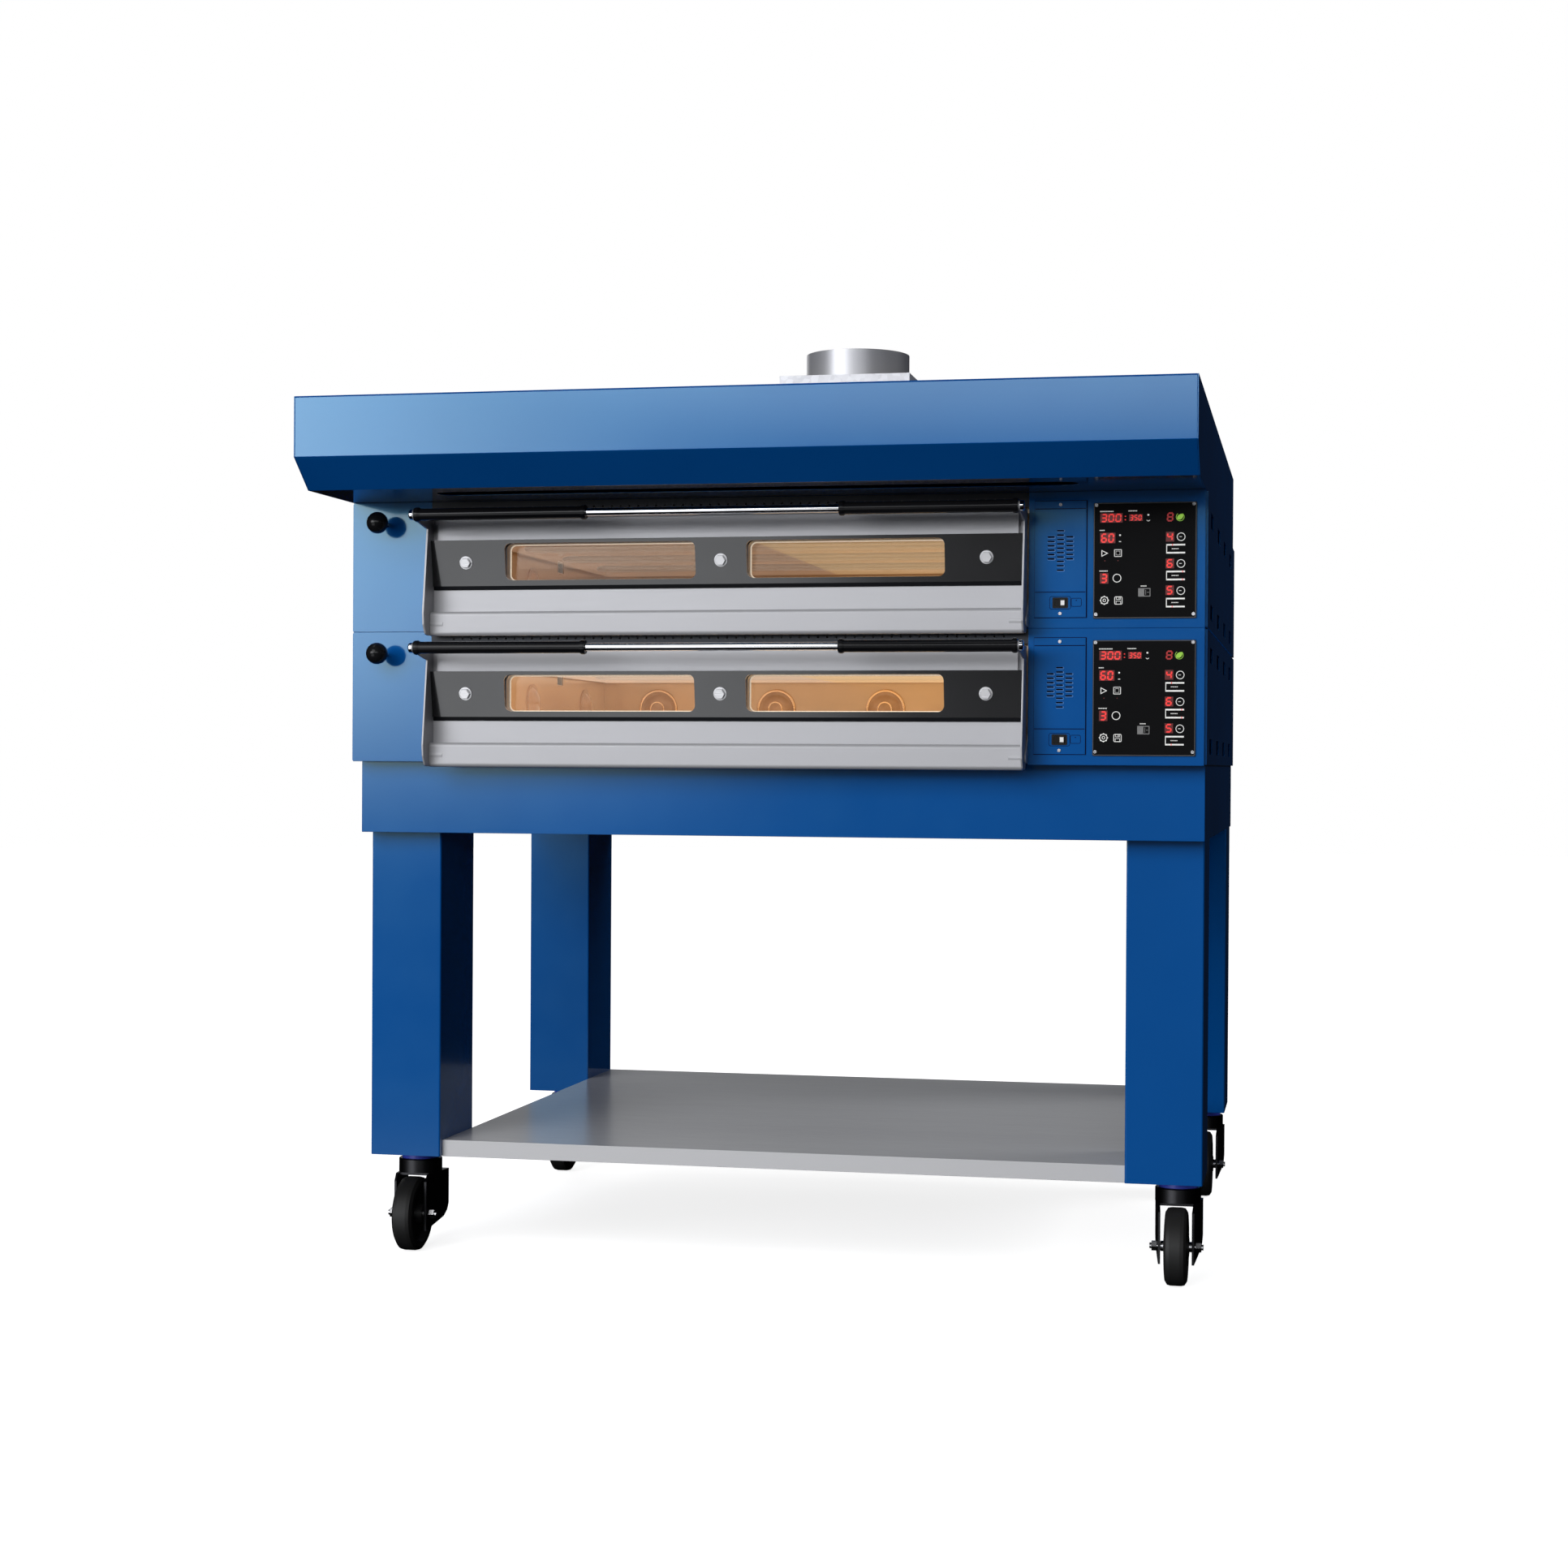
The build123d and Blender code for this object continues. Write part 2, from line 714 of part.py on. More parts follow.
with BuildPart() as baking_chambers:
    # Flat sheets with a hairline joint between them: floor, roof, walls, back and the frame of the mouth.
    for floor in deck_floors:
        for plate_z in (chamber_floor - sheet, chamber_roof):
            with BuildSketch(Plane.XY.offset(floor + plate_z)):
                with Locations((door_center, deck_front + chamber_middle_y)):
                    Rectangle(chamber_width + 2 * sheet, liner_depth)
            extrude(amount=sheet)
        with BuildSketch(side_plane(chamber_right, floor)):
            with Locations((chamber_middle_y, chamber_middle_z)):
                Rectangle(liner_depth, liner_height - 2 * sheet_joint)
            with Locations(*element_holes):
                Circle(element_radius + 0.2, mode=Mode.SUBTRACT)
        extrude(amount=sheet)
        with BuildSketch(side_plane(chamber_left - sheet, floor)):
            with Locations((chamber_middle_y, chamber_middle_z)):
                Rectangle(liner_depth, liner_height - 2 * sheet_joint)
            with Locations(*side_lamps):
                Circle(lamp_radius, mode=Mode.SUBTRACT)
            with Locations((steam_y, steam_z)):
                Rectangle(tunnel_width, tunnel_height, mode=Mode.SUBTRACT)
        extrude(amount=sheet)
        with BuildSketch(front_plane(0, chamber_back + sheet, 0, floor)):
            with Locations((door_center, chamber_middle_z)):
                Rectangle(chamber_width + 2 * sheet, liner_height + 2 * sheet)
            with Locations(*back_lamps):
                Circle(lamp_radius, mode=Mode.SUBTRACT)
        extrude(amount=sheet)
        with BuildSketch(front_plane(0, chamber_front, 0, floor)):
            with Locations((trim_x, (sheet + chamber_floor) / 2)):
                Rectangle(trim_width, chamber_floor - sheet)
            with Locations((trim_x, (chamber_roof + opening_top) / 2)):
                Rectangle(trim_width, opening_top - chamber_roof)
            with Locations(((opening_left + chamber_left) / 2, chamber_middle_z)):
                Rectangle(chamber_left - opening_left, liner_height - 2 * sheet_joint)
            with Locations(((chamber_right + opening_right) / 2, chamber_middle_z)):
                Rectangle(opening_right - chamber_right, liner_height - 2 * sheet_joint)
        extrude(amount=sheet)
        # Bars that carry the hearth stones above the lower elements.
        with BuildSketch(Plane.XY.offset(floor + chamber_floor + sheet_joint)):
            with Locations(*[(door_center, deck_front + y) for y in stone_bar_places]):
                Rectangle(chamber_width - 2 * sheet_joint, 6)
        extrude(amount=stone_bottom - chamber_floor - sheet_joint)
save(baking_chambers, "baking_chambers")

with BuildPart() as insulation_jackets:
    jacket_back = chamber_back + sheet + insulation
    jacket_left = chamber_left - sheet - insulation
    jacket_right = chamber_right + sheet + insulation
    jacket_x = (jacket_left + jacket_right) / 2
    for floor in deck_floors:
        with BuildSketch(front_plane(jacket_x, jacket_back, deck_height / 2, floor)):
            Rectangle(jacket_right - jacket_left, deck_height - 2 * sheet)
        extrude(amount=jacket_back - chamber_front)
        with BuildSketch(front_plane(door_center, chamber_back + sheet, chamber_middle_z, floor)):
            Rectangle(chamber_width + 2 * sheet, liner_height + 2 * sheet)
        extrude(amount=chamber_depth + sheet, mode=Mode.SUBTRACT)
        with BuildSketch(side_plane(chamber_right + sheet, floor)):
            with Locations(*element_holes):
                Circle(element_radius + 0.2)
        extrude(amount=insulation, mode=Mode.SUBTRACT)
        with BuildSketch(side_plane(jacket_left, floor)):
            with Locations(*side_lamps):
                Circle(lamp_radius + 4)
            with Locations((steam_y, steam_z)):
                Rectangle(43, 27)
        extrude(amount=insulation, mode=Mode.SUBTRACT)
        with BuildSketch(front_plane(0, jacket_back, 0, floor)):
            with Locations(*back_lamps):
                Circle(lamp_radius + 4)
        extrude(amount=insulation, mode=Mode.SUBTRACT)
save(insulation_jackets, "insulation_jackets")

with BuildPart() as hearth_stones:
    stone_width = chamber_width / 2 - 1.5
    stone_depth = chamber_depth - 8
    stone_y = deck_front + chamber_front + chamber_depth / 2
    for floor in deck_floors:
        with BuildSketch(Plane.XY.offset(floor + stone_bottom)):
            with Locations((door_center, stone_y)):
                with GridLocations(stone_width + 1, 0, 2, 1):
                    Rectangle(stone_width, stone_depth)
        extrude(amount=stone_thickness)
    stone_rims = hearth_stones.edges().filter_by(GeomType.LINE).group_by(SortBy.LENGTH)[-1]
    chamfer(stone_rims.group_by(Axis.Z)[-1], 2)
save(hearth_stones, "hearth_stones")

with BuildPart() as heating_elements:
    terminal_x = jacket_right + 12
    bend_x = chamber_left + 70
    for floor in deck_floors:
        for height in element_heights:
            for place in element_places:
                with BuildLine(Plane.XY.offset(floor + height)) as loop:
                    far_side = deck_front + place + element_half_pitch
                    near_side = deck_front + place - element_half_pitch
                    Line((terminal_x, near_side), (bend_x, near_side))
                    ThreePointArc(
                        (bend_x, near_side),
                        (bend_x - element_half_pitch, deck_front + place),
                        (bend_x, far_side),
                    )
                    Line((bend_x, far_side), (terminal_x, far_side))
                with BuildSketch(Plane(origin=(terminal_x, near_side, floor + height), z_dir=(-1, 0, 0))):
                    Circle(element_radius)
                sweep(path=loop.wire())
save(heating_elements, "heating_elements")


back_seats = [((x, deck_front + chamber_back, z), (1, 0, 0), (0, 1, 0)) for x, z in back_lamps]
side_seats = [((chamber_left, deck_front + y, z), (0, 1, 0), (1, 0, 0)) for y, z in side_lamps]

lamp_flange = 2.5
dome_foot = lamp_radius - 4
dome_radius = (dome_foot ** 2 + lamp_rise ** 2) / (2 * lamp_rise)
dome_middle = lamp_flange + lamp_rise - dome_radius + sqrt(dome_radius ** 2 - (dome_foot / 2) ** 2)

with BuildPart() as oven_lamps:
    # Each lamp has a glass dome inside the chamber and a body that runs out through the insulation.
    for floor in deck_floors:
        for (seat_x, seat_y, seat_z), across, outward in back_seats + side_seats:
            seat = (seat_x, seat_y, floor + seat_z)
            with BuildSketch(Plane(origin=seat, x_dir=across, z_dir=(0, 0, -1))):
                with BuildLine():
                    dome = ThreePointArc(
                        (dome_foot, lamp_flange),
                        (dome_foot / 2, dome_middle),
                        (0, lamp_flange + lamp_rise),
                    )
                    Polyline(
                        dome @ 1,
                        (0, -insulation - 12),
                        (18, -insulation - 12),
                        (18, -6),
                        (lamp_radius - 1, -6),
                        (lamp_radius - 1, 0),
                        (lamp_radius + 3, 0),
                        (lamp_radius + 3, lamp_flange),
                        dome @ 0,
                    )
                make_face()
            revolve(axis=Axis(seat, outward))
save(oven_lamps, "oven_lamps")

with BuildPart() as steam_ducts:
    # A plenum beside the chamber, a tunnel in from the chamber wall and a pipe out to the back.
    steam_box_front = 700
    steam_box_back = 800
    steam_box_width = 84
    steam_box_height = 54
    steam_wall = 1.5
    pipe_end_y = deck_depth - 15
    tunnel_start = knob_x + steam_box_width / 2
    tunnel_length = chamber_left - sheet - tunnel_start
    for floor in deck_floors:
        with BuildSketch(front_plane(knob_x, steam_box_back, knob_z, floor)):
            Rectangle(steam_box_width, steam_box_height)
        extrude(amount=steam_box_back - steam_box_front)
        with BuildSketch(side_plane(tunnel_start, floor)):
            with Locations((steam_y, steam_z)):
                Rectangle(tunnel_width, tunnel_height)
        extrude(amount=tunnel_length)
        with BuildSketch(front_plane(knob_x, pipe_end_y, knob_z, floor)):
            Circle(pipe_radius)
        extrude(amount=pipe_end_y - steam_box_back)
        with BuildSketch(front_plane(knob_x, steam_box_back - steam_wall, knob_z, floor)):
            Rectangle(steam_box_width - 2 * steam_wall, steam_box_height - 2 * steam_wall)
        extrude(amount=steam_box_back - steam_box_front - 2 * steam_wall, mode=Mode.SUBTRACT)
        with BuildSketch(side_plane(tunnel_start - steam_wall, floor)):
            with Locations((steam_y, steam_z)):
                Rectangle(tunnel_width - 2 * steam_wall, tunnel_height - 2 * steam_wall)
        extrude(amount=tunnel_length + steam_wall, mode=Mode.SUBTRACT)
        with BuildSketch(front_plane(knob_x, pipe_end_y, knob_z, floor)):
            Circle(pipe_radius - steam_wall)
        extrude(amount=pipe_end_y - steam_box_back + steam_wall, mode=Mode.SUBTRACT)
        with BuildSketch(front_plane(knob_x, steam_box_front + steam_wall, knob_z, floor)):
            Circle(vent_rod_radius + running_gap)
        extrude(amount=steam_wall, mode=Mode.SUBTRACT)
save(steam_ducts, "steam_ducts")


# ---------------------------------------------------------------- fixed parts on the front

bracket_thickness = 1.8
arm_outer_left = door_center - door_half
arm_outer_right = door_center + door_half
bracket_left_x = opening_left + 0.4
bracket_right_x = opening_right - 0.1 - bracket_thickness
hinge_pin_depth = 20

with BuildPart() as hinge_brackets:
    for floor in deck_floors:
        for bracket_x, inward in ((bracket_left_x, 1), (bracket_right_x, -1)):
            with BuildSketch(side_plane(bracket_x, floor)):
                with BuildLine():
                    Polyline(
                        (hinge_y, hinge_z + 9),
                        (22, 60),
                        (22, hinge_z - 9),
                        (hinge_y, hinge_z - 9),
                        close=True,
                    )
                make_face()
                with Locations((hinge_y, hinge_z)):
                    Circle(9)
            extrude(amount=bracket_thickness)
            pin_start = bracket_x + (bracket_thickness if inward > 0 else 0)
            pin_end = door_center - inward * (shell_half - hinge_pin_depth)
            with BuildSketch(side_plane(pin_start, floor)):
                with Locations((hinge_y, hinge_z)):
                    Circle(hinge_pin_radius)
            extrude(amount=pin_end - pin_start)
save(hinge_brackets, "hinge_brackets")

panel_screw_places = [(dx * (panel_width / 2 - 4.7), z) for dx in (-1, 1)
                      for z in (panel_height / 2 - 4, 7 - panel_height / 2)]
cover_screw_places = [(cover_x, 208), (cover_x, 25)]

with BuildPart() as control_panels:
    for floor in deck_floors:
        with BuildSketch(front_plane(panel_x, 0, panel_z, floor)):
            RectangleRounded(panel_width, panel_height, 2)
            with Locations(*panel_screw_places):
                Circle(screw_hole_radius, mode=Mode.SUBTRACT)
        extrude(amount=panel_thickness)
    panel_faces = control_panels.faces().filter_by(Axis.Y).group_by(Axis.Y)[0]
    for panel_face in panel_faces:
        chamfer(panel_face.outer_wire().edges(), panel_bevel)
save(control_panels, "control_panels")

with BuildPart() as vent_covers:
    for floor in deck_floors:
        with BuildSketch(front_plane(cover_x, 0, cover_z, floor)):
            Rectangle(cover_width, cover_height)
        extrude(amount=sheet)
        with BuildSketch(front_plane(cover_x, -sheet, slots_z, floor)):
            with GridLocations(0, slot_pitch, 1, 10):
                SlotOverall(slot_length, slot_height)
            with Locations((0, slots_aside_lift)):
                with GridLocations(slots_aside, slot_pitch, 2, 6):
                    SlotOverall(slot_length, slot_height)
        extrude(amount=-sheet, mode=Mode.SUBTRACT)
        with BuildSketch(front_plane(switch_x, -sheet, switch_z, floor)):
            RectangleRounded(*switch_opening, seam)
        extrude(amount=-sheet, mode=Mode.SUBTRACT)
        with BuildSketch(front_plane(0, -sheet, 0, floor)):
            with Locations(*cover_screw_places):
                Circle(screw_hole_radius)
        extrude(amount=-sheet, mode=Mode.SUBTRACT)
        # Pressed lines across the cover, and the outline round the switch.
        with BuildSketch(front_plane(cover_x, -sheet, 0, floor)):
            with Locations(*[(0, z) for z in pressed_lines]):
                Rectangle(cover_width, 1)
        extrude(amount=-pressed_depth, mode=Mode.SUBTRACT)
        with BuildSketch(front_plane(switch_x, -sheet, switch_z, floor)):
            RectangleRounded(36, 22, 4)
            RectangleRounded(34.6, 20.6, 3.3, mode=Mode.SUBTRACT)
        extrude(amount=-pressed_depth, mode=Mode.SUBTRACT)
save(vent_covers, "vent_covers")

with BuildPart() as switch_housings:
    for floor in deck_floors:
        with BuildSketch(front_plane(switch_x, -sheet, switch_z, floor)):
            RectangleRounded(*switch_flange, sheet)
        extrude(amount=1)
        with BuildSketch(front_plane(switch_x, switch_body_depth, switch_z, floor)):
            RectangleRounded(*switch_body, seam)
        extrude(amount=switch_body_depth + sheet)
        with BuildSketch(front_plane(switch_x, switch_well_depth, switch_z, floor)):
            Rectangle(*switch_well)
        extrude(amount=switch_well_depth + sheet + 1, mode=Mode.SUBTRACT)
        for lug_z in (switch_z - lug_offset, switch_z + lug_offset - lug_height):
            with BuildSketch(Plane.XY.offset(floor + lug_z)):
                with Locations((switch_x, deck_front + switch_pivot_y)):
                    Circle(lug_radius)
            extrude(amount=lug_height)
        # Blade terminals at the back.
        with BuildSketch(front_plane(switch_x, switch_body_depth, switch_z, floor)):
            with GridLocations(blade_spacing, 0, 2, 1):
                Rectangle(*blade_size)
        extrude(amount=-blade_spacing)
save(switch_housings, "switch_housings")

with BuildPart() as panel_screws:
    for floor in deck_floors:
        with BuildSketch(front_plane(panel_x, 0, panel_z, floor)):
            with Locations(*panel_screw_places):
                Circle(screw_radius)
        extrude(amount=panel_thickness)
        with BuildSketch(front_plane(panel_x, -panel_thickness, panel_z, floor)):
            with Locations(*panel_screw_places):
                Circle(panel_screw_head[0])
        extrude(amount=panel_screw_head[1])
        with BuildSketch(front_plane(0, 0, 0, floor)):
            with Locations(*cover_screw_places):
                Circle(screw_radius)
        extrude(amount=sheet)
        with BuildSketch(front_plane(0, -sheet, 0, floor)):
            with Locations(*cover_screw_places):
                Circle(cover_screw_head[0])
        extrude(amount=cover_screw_head[1])
save(panel_screws, "panel_screws")

with BuildPart() as circuit_boards:
    for floor in deck_floors:
        with BuildSketch(front_plane(panel_x, board_y, panel_z, floor)):
            Rectangle(*board_size)
        extrude(amount=sheet)
        with BuildSketch(front_plane(panel_x, board_y - sheet, panel_z, floor)):
            with GridLocations(board_size[0] - 8, board_size[1] - 6, 2, 2):
                Circle(3)
        extrude(amount=board_y - 2 * sheet)
        # Display block in front; relays and a transformer behind.
        with BuildSketch(front_plane(panel_x - 24, board_y - sheet, panel_z + 46, floor)):
            Rectangle(90, 60)
        extrude(amount=12)
        with BuildSketch(front_plane(panel_x, board_y, panel_z, floor)):
            with Locations((-50, -50), (-10, -50), (30, -50)):
                Rectangle(28, 34)
            with Locations((30, 40)):
                Rectangle(52, 46)
        extrude(amount=-26)
save(circuit_boards, "circuit_boards")

with BuildPart() as cable_glands:
    for floor in deck_floors:
        with BuildSketch(front_plane(gland_x, deck_depth - 20, gland_z, floor)):
            Circle(gland_radius)
        extrude(amount=36)
        with BuildSketch(front_plane(gland_x, deck_depth - 22, gland_z, floor)):
            RegularPolygon(gland_nut_radius, 6)
        extrude(amount=8)
        with BuildSketch(front_plane(gland_x, deck_depth - 2, gland_z, floor)):
            Circle(gland_flange_radius)
        extrude(amount=20)
        with BuildSketch(front_plane(gland_x, deck_depth - 32, gland_z, floor)):
            RegularPolygon(gland_nut_radius, 6)
        extrude(amount=5.5)
        with BuildSketch(front_plane(gland_x, deck_depth - 1, gland_z, floor)):
            Circle(gland_bore_radius)
        extrude(amount=60, mode=Mode.SUBTRACT)
save(cable_glands, "cable_glands")


# ---------------------------------------------------------------- moving parts of each deck

def make_door(level, floor):
    """One drop-down door at rest, closed. Its hinge line lies just above its lower edge."""
    shell_left = door_center - shell_half
    section = side_plane(shell_left, floor)
    hinge_point = (hinge_y, hinge_z)

    with BuildPart() as door_shell:
        with BuildSketch(section) as outline:
            with BuildLine():
                heel = CenterArc(hinge_point, door_bottom_radius, -90, 90)
                Polyline(
                    heel @ 1,
                    (1, 40),
                    (door_back, 40),
                    (door_back, 182),
                    (0, 182),
                    (0, door_top),
                    (front_face, door_top),
                    (front_face, skirt_top),
                    (skirt_front, skirt_top),
                    (skirt_front, hinge_z - door_bottom_radius),
                    heel @ 0,
                )
            make_face()
            fillet(outline.vertices().group_by(Axis.X)[0], 7)
        extrude(amount=2 * shell_half)
        with BuildSketch(section.offset(sheet)):
            add(outline.sketch_local)
            offset(amount=-sheet)
        extrude(amount=2 * (shell_half - sheet), mode=Mode.SUBTRACT)
        # Raised pan along the top of the front.
        with BuildSketch(front_plane(door_center, front_face, pan_z, floor)):
            Rectangle(2 * shell_half - 20, pan_height)
        extrude(amount=pan_depth)
        pan_edges = door_shell.faces().sort_by(Axis.Z)[-1].edges().sort_by(Axis.Y)[0]
        fillet(pan_edges, 4)
        with BuildSketch(front_plane(door_center, -10, 179, floor)):
            Rectangle(2 * shell_half - 24, 34)
        extrude(amount=5, mode=Mode.SUBTRACT)
        # Window tunnels through the door.
        with BuildSketch(front_plane(door_center, door_back, window_z, floor)):
            with GridLocations(window_spacing, 0, 2, 1):
                RectangleRounded(window_width + 2 * sheet, window_height + 2 * sheet, window_corner + sheet)
        extrude(amount=door_back - front_face)
        with BuildSketch(front_plane(door_center, door_back, window_z, floor)):
            with GridLocations(window_spacing, 0, 2, 1):
                RectangleRounded(window_width, window_height, window_corner)
        extrude(amount=door_back - front_face, mode=Mode.SUBTRACT)
        # Bored bosses for the hinge pins.
        for side in (-1, 1):
            boss_end = side_plane(door_center + side * shell_half, floor)
            with BuildSketch(boss_end):
                with Locations(hinge_point):
                    Circle(boss_radius)
            extrude(amount=-side * (hinge_pin_depth + 4))
            with BuildSketch(boss_end):
                with Locations(hinge_point):
                    Circle(hinge_pin_radius + fit_gap)
            extrude(amount=-side * (hinge_pin_depth + 1), mode=Mode.SUBTRACT)
    save(door_shell, level + "_door_shell")

    band_run = band_bottom[0] - band_top[0]
    band_drop = band_top[1] - band_bottom[1]
    band_length = hypot(band_run, band_drop)
    back_step = (band_thickness * band_drop / band_length, band_thickness * band_run / band_length)
    bolt_depth = band_bottom[0] - band_run * (bolt_z - band_bottom[1]) / band_drop
    bolt_axis = (0, -band_drop / band_length, -band_run / band_length)

    with BuildPart() as door_band:
        with BuildSketch(section):
            with BuildLine():
                Polyline(
                    band_top,
                    band_bottom,
                    (band_bottom[0] + back_step[0], band_bottom[1] + back_step[1]),
                    (band_top[0] + back_step[0], band_top[1] + back_step[1]),
                    close=True,
                )
            make_face()
        extrude(amount=2 * shell_half)
        with BuildSketch(front_plane(door_center, 0, window_z, floor)):
            with GridLocations(window_spacing, 0, 2, 1):
                RectangleRounded(window_width, window_height, window_corner)
        extrude(amount=40, mode=Mode.SUBTRACT)
        for bolt_x in (-bolt_spacing, 0, bolt_spacing):
            bolt_center = (door_center + bolt_x, deck_front + bolt_depth, floor + bolt_z)
            with BuildSketch(Plane(origin=bolt_center, x_dir=(1, 0, 0), z_dir=bolt_axis)):
                Circle(bolt_hole_radius)
            extrude(amount=2 * band_thickness, both=True, mode=Mode.SUBTRACT)
    save(door_band, level + "_door_band")

    with BuildPart() as door_bolts:
        for bolt_x in (-bolt_spacing, 0, bolt_spacing):
            bolt_center = (door_center + bolt_x, deck_front + bolt_depth, floor + bolt_z)
            bolt_plane = Plane(origin=bolt_center, x_dir=(1, 0, 0), z_dir=bolt_axis)
            with BuildSketch(bolt_plane):
                Circle(bolt_washer[0])
            extrude(amount=bolt_washer[1])
            with BuildSketch(bolt_plane.offset(bolt_washer[1])):
                RegularPolygon(bolt_head[0], 6)
            extrude(amount=bolt_head[1])
            with BuildSketch(bolt_plane):
                Circle(bolt_shank[0])
            extrude(amount=-bolt_shank[1])
            bolt_top = door_bolts.faces().filter_by(bolt_plane).sort_by(Axis.Y)[0]
            chamfer(bolt_top.edges(), bolt_bevel)
    save(door_bolts, level + "_door_bolts")

    with BuildPart() as door_glass:
        with BuildSketch(front_plane(door_center, glass_back, window_z, floor)):
            with GridLocations(window_spacing, 0, 2, 1):
                RectangleRounded(window_width, window_height, window_corner)
        extrude(amount=glass_thickness)
    save(door_glass, level + "_door_glass")

    with BuildPart() as door_arms:
        for arm_x in (door_center - door_half, door_center + shell_half):
            with BuildSketch(side_plane(arm_x, floor)) as arm_outline:
                with BuildLine():
                    heel = CenterArc(hinge_point, 20, -90, 90)
                    Polyline(
                        heel @ 1,
                        (0, door_top),
                        (-34, door_top),
                        (-38, 184),
                        (-60, 30),
                        (-58, 10),
                        (-48, -6),
                        (-38, hinge_z - 20),
                        heel @ 0,
                    )
                make_face()
                fillet(arm_outline.vertices().filter_by_position(Axis.X, -61, -45), 5)
                # Bracket out to the handle.
                with BuildLine():
                    Polyline(
                        (-20, door_top),
                        (handle_y, handle_z + handle_eye_radius),
                        (handle_y, handle_z - handle_eye_radius),
                        (-38, 178),
                        close=True,
                    )
                make_face()
                with Locations((handle_y, handle_z)):
                    Circle(handle_eye_radius)
                    Circle(handle_radius, mode=Mode.SUBTRACT)
                with Locations(hinge_point):
                    Circle(hinge_pin_radius + fit_gap, mode=Mode.SUBTRACT)
            extrude(amount=arm_thickness)
    save(door_arms, level + "_door_arms")

    handle_left = door_center - handle_length / 2
    with BuildPart() as handle_bar:
        with BuildSketch(side_plane(handle_left, floor)):
            with Locations((handle_y, handle_z)):
                Circle(handle_radius)
        extrude(amount=handle_length)
        cap_length = handle_length / 2 - door_half
        for cap_x in (handle_left, handle_left + handle_length - cap_length):
            with BuildSketch(side_plane(cap_x, floor)):
                with Locations((handle_y, handle_z)):
                    Circle(cap_radius)
            extrude(amount=cap_length)
        fillet(handle_bar.faces().sort_by(Axis.X)[0].edges(), cap_round)
        fillet(handle_bar.faces().sort_by(Axis.X)[-1].edges(), cap_round)
    save(handle_bar, level + "_handle_bar")

    with BuildPart() as handle_grips:
        grip_ends = (
            (door_center - shell_half, 1, left_grip_length),
            (door_center + shell_half, -1, right_grip_length),
        )
        for grip_x, inward, grip_length in grip_ends:
            with BuildSketch(side_plane(grip_x, floor)):
                with Locations((handle_y, handle_z)):
                    Circle(grip_radius)
            extrude(amount=inward * grip_length)
            # A stepped bead at each end.
            bead_step = (bead_length - bead_core) / 2
            for bead_start in (0, grip_length - bead_length):
                with BuildSketch(side_plane(grip_x + inward * bead_start, floor)):
                    with Locations((handle_y, handle_z)):
                        Circle(bead_radii[0])
                extrude(amount=inward * bead_length)
                with BuildSketch(side_plane(grip_x + inward * (bead_start + bead_step), floor)):
                    with Locations((handle_y, handle_z)):
                        Circle(bead_radii[1])
                extrude(amount=inward * bead_core)
            with BuildSketch(side_plane(grip_x, floor)):
                with Locations((handle_y, handle_z)):
                    Circle(handle_radius)
            extrude(amount=inward * grip_length, mode=Mode.SUBTRACT)
    save(handle_grips, level + "_handle_grips")


def make_vent_control(level, floor):
    """Ball knob and pull rod. The rod's disc closes the steam pipe at rest."""
    knob_center = (knob_x, deck_front - knob_reach, floor + knob_z)
    with BuildPart() as vent_knob:
        with BuildSketch(Plane(origin=knob_center, x_dir=(1, 0, 0), z_dir=(0, 0, 1))):
            with BuildLine():
                ball = ThreePointArc((0, -knob_radius), (knob_radius, 0), knob_neck)
                Polyline(ball @ 1, (knob_neck[0], knob_neck_end), (0, knob_neck_end), (0, -knob_radius))
            make_face()
        revolve(axis=Axis(knob_center, (0, 1, 0)))
        with BuildSketch(Plane(origin=knob_center, x_dir=(1, 0, 0), z_dir=(0, 1, 0))):
            Circle(vent_rod_radius)
        extrude(amount=knob_neck_end + 1, mode=Mode.SUBTRACT)
    save(vent_knob, level + "_vent_knob")

    with BuildPart() as vent_rod:
        with BuildSketch(Plane(origin=knob_center, x_dir=(1, 0, 0), z_dir=(0, 1, 0))):
            Circle(vent_rod_radius)
        extrude(amount=damper_y + knob_reach)
        with BuildSketch(front_plane(knob_x, damper_y + damper_thickness, knob_z, floor)):
            Circle(damper_radius)
        extrude(amount=damper_thickness)
    save(vent_rod, level + "_vent_rod")


def make_power_switch(level, floor):
    """Rocker at rest with its left end pressed."""
    pivot = Plane(
        origin=(switch_x, deck_front + switch_pivot_y, floor + switch_z - 5.8),
        x_dir=(1, 0, 0),
        z_dir=(0, 0, 1),
    ).rotated((0, 0, -switch_tilt))
    with BuildPart() as power_switch:
        with BuildSketch(pivot):
            with BuildLine():
                Polyline((-9, -5.6), (0, -4), (9, -5.6), (9, 1), (4, 3), (-4, 3), (-9, 1), close=True)
            make_face()
        extrude(amount=11.6)
        with BuildSketch(pivot):
            Circle(1.25)
        extrude(amount=11.6, mode=Mode.SUBTRACT)
    save(power_switch, level + "_power_switch")


for level, floor in zip(("lower", "upper"), deck_floors):
    make_door(level, floor)
    make_vent_control(level, floor)
    make_power_switch(level, floor)
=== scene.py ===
import math

import bmesh
import bpy
from mathutils import Matrix, Vector


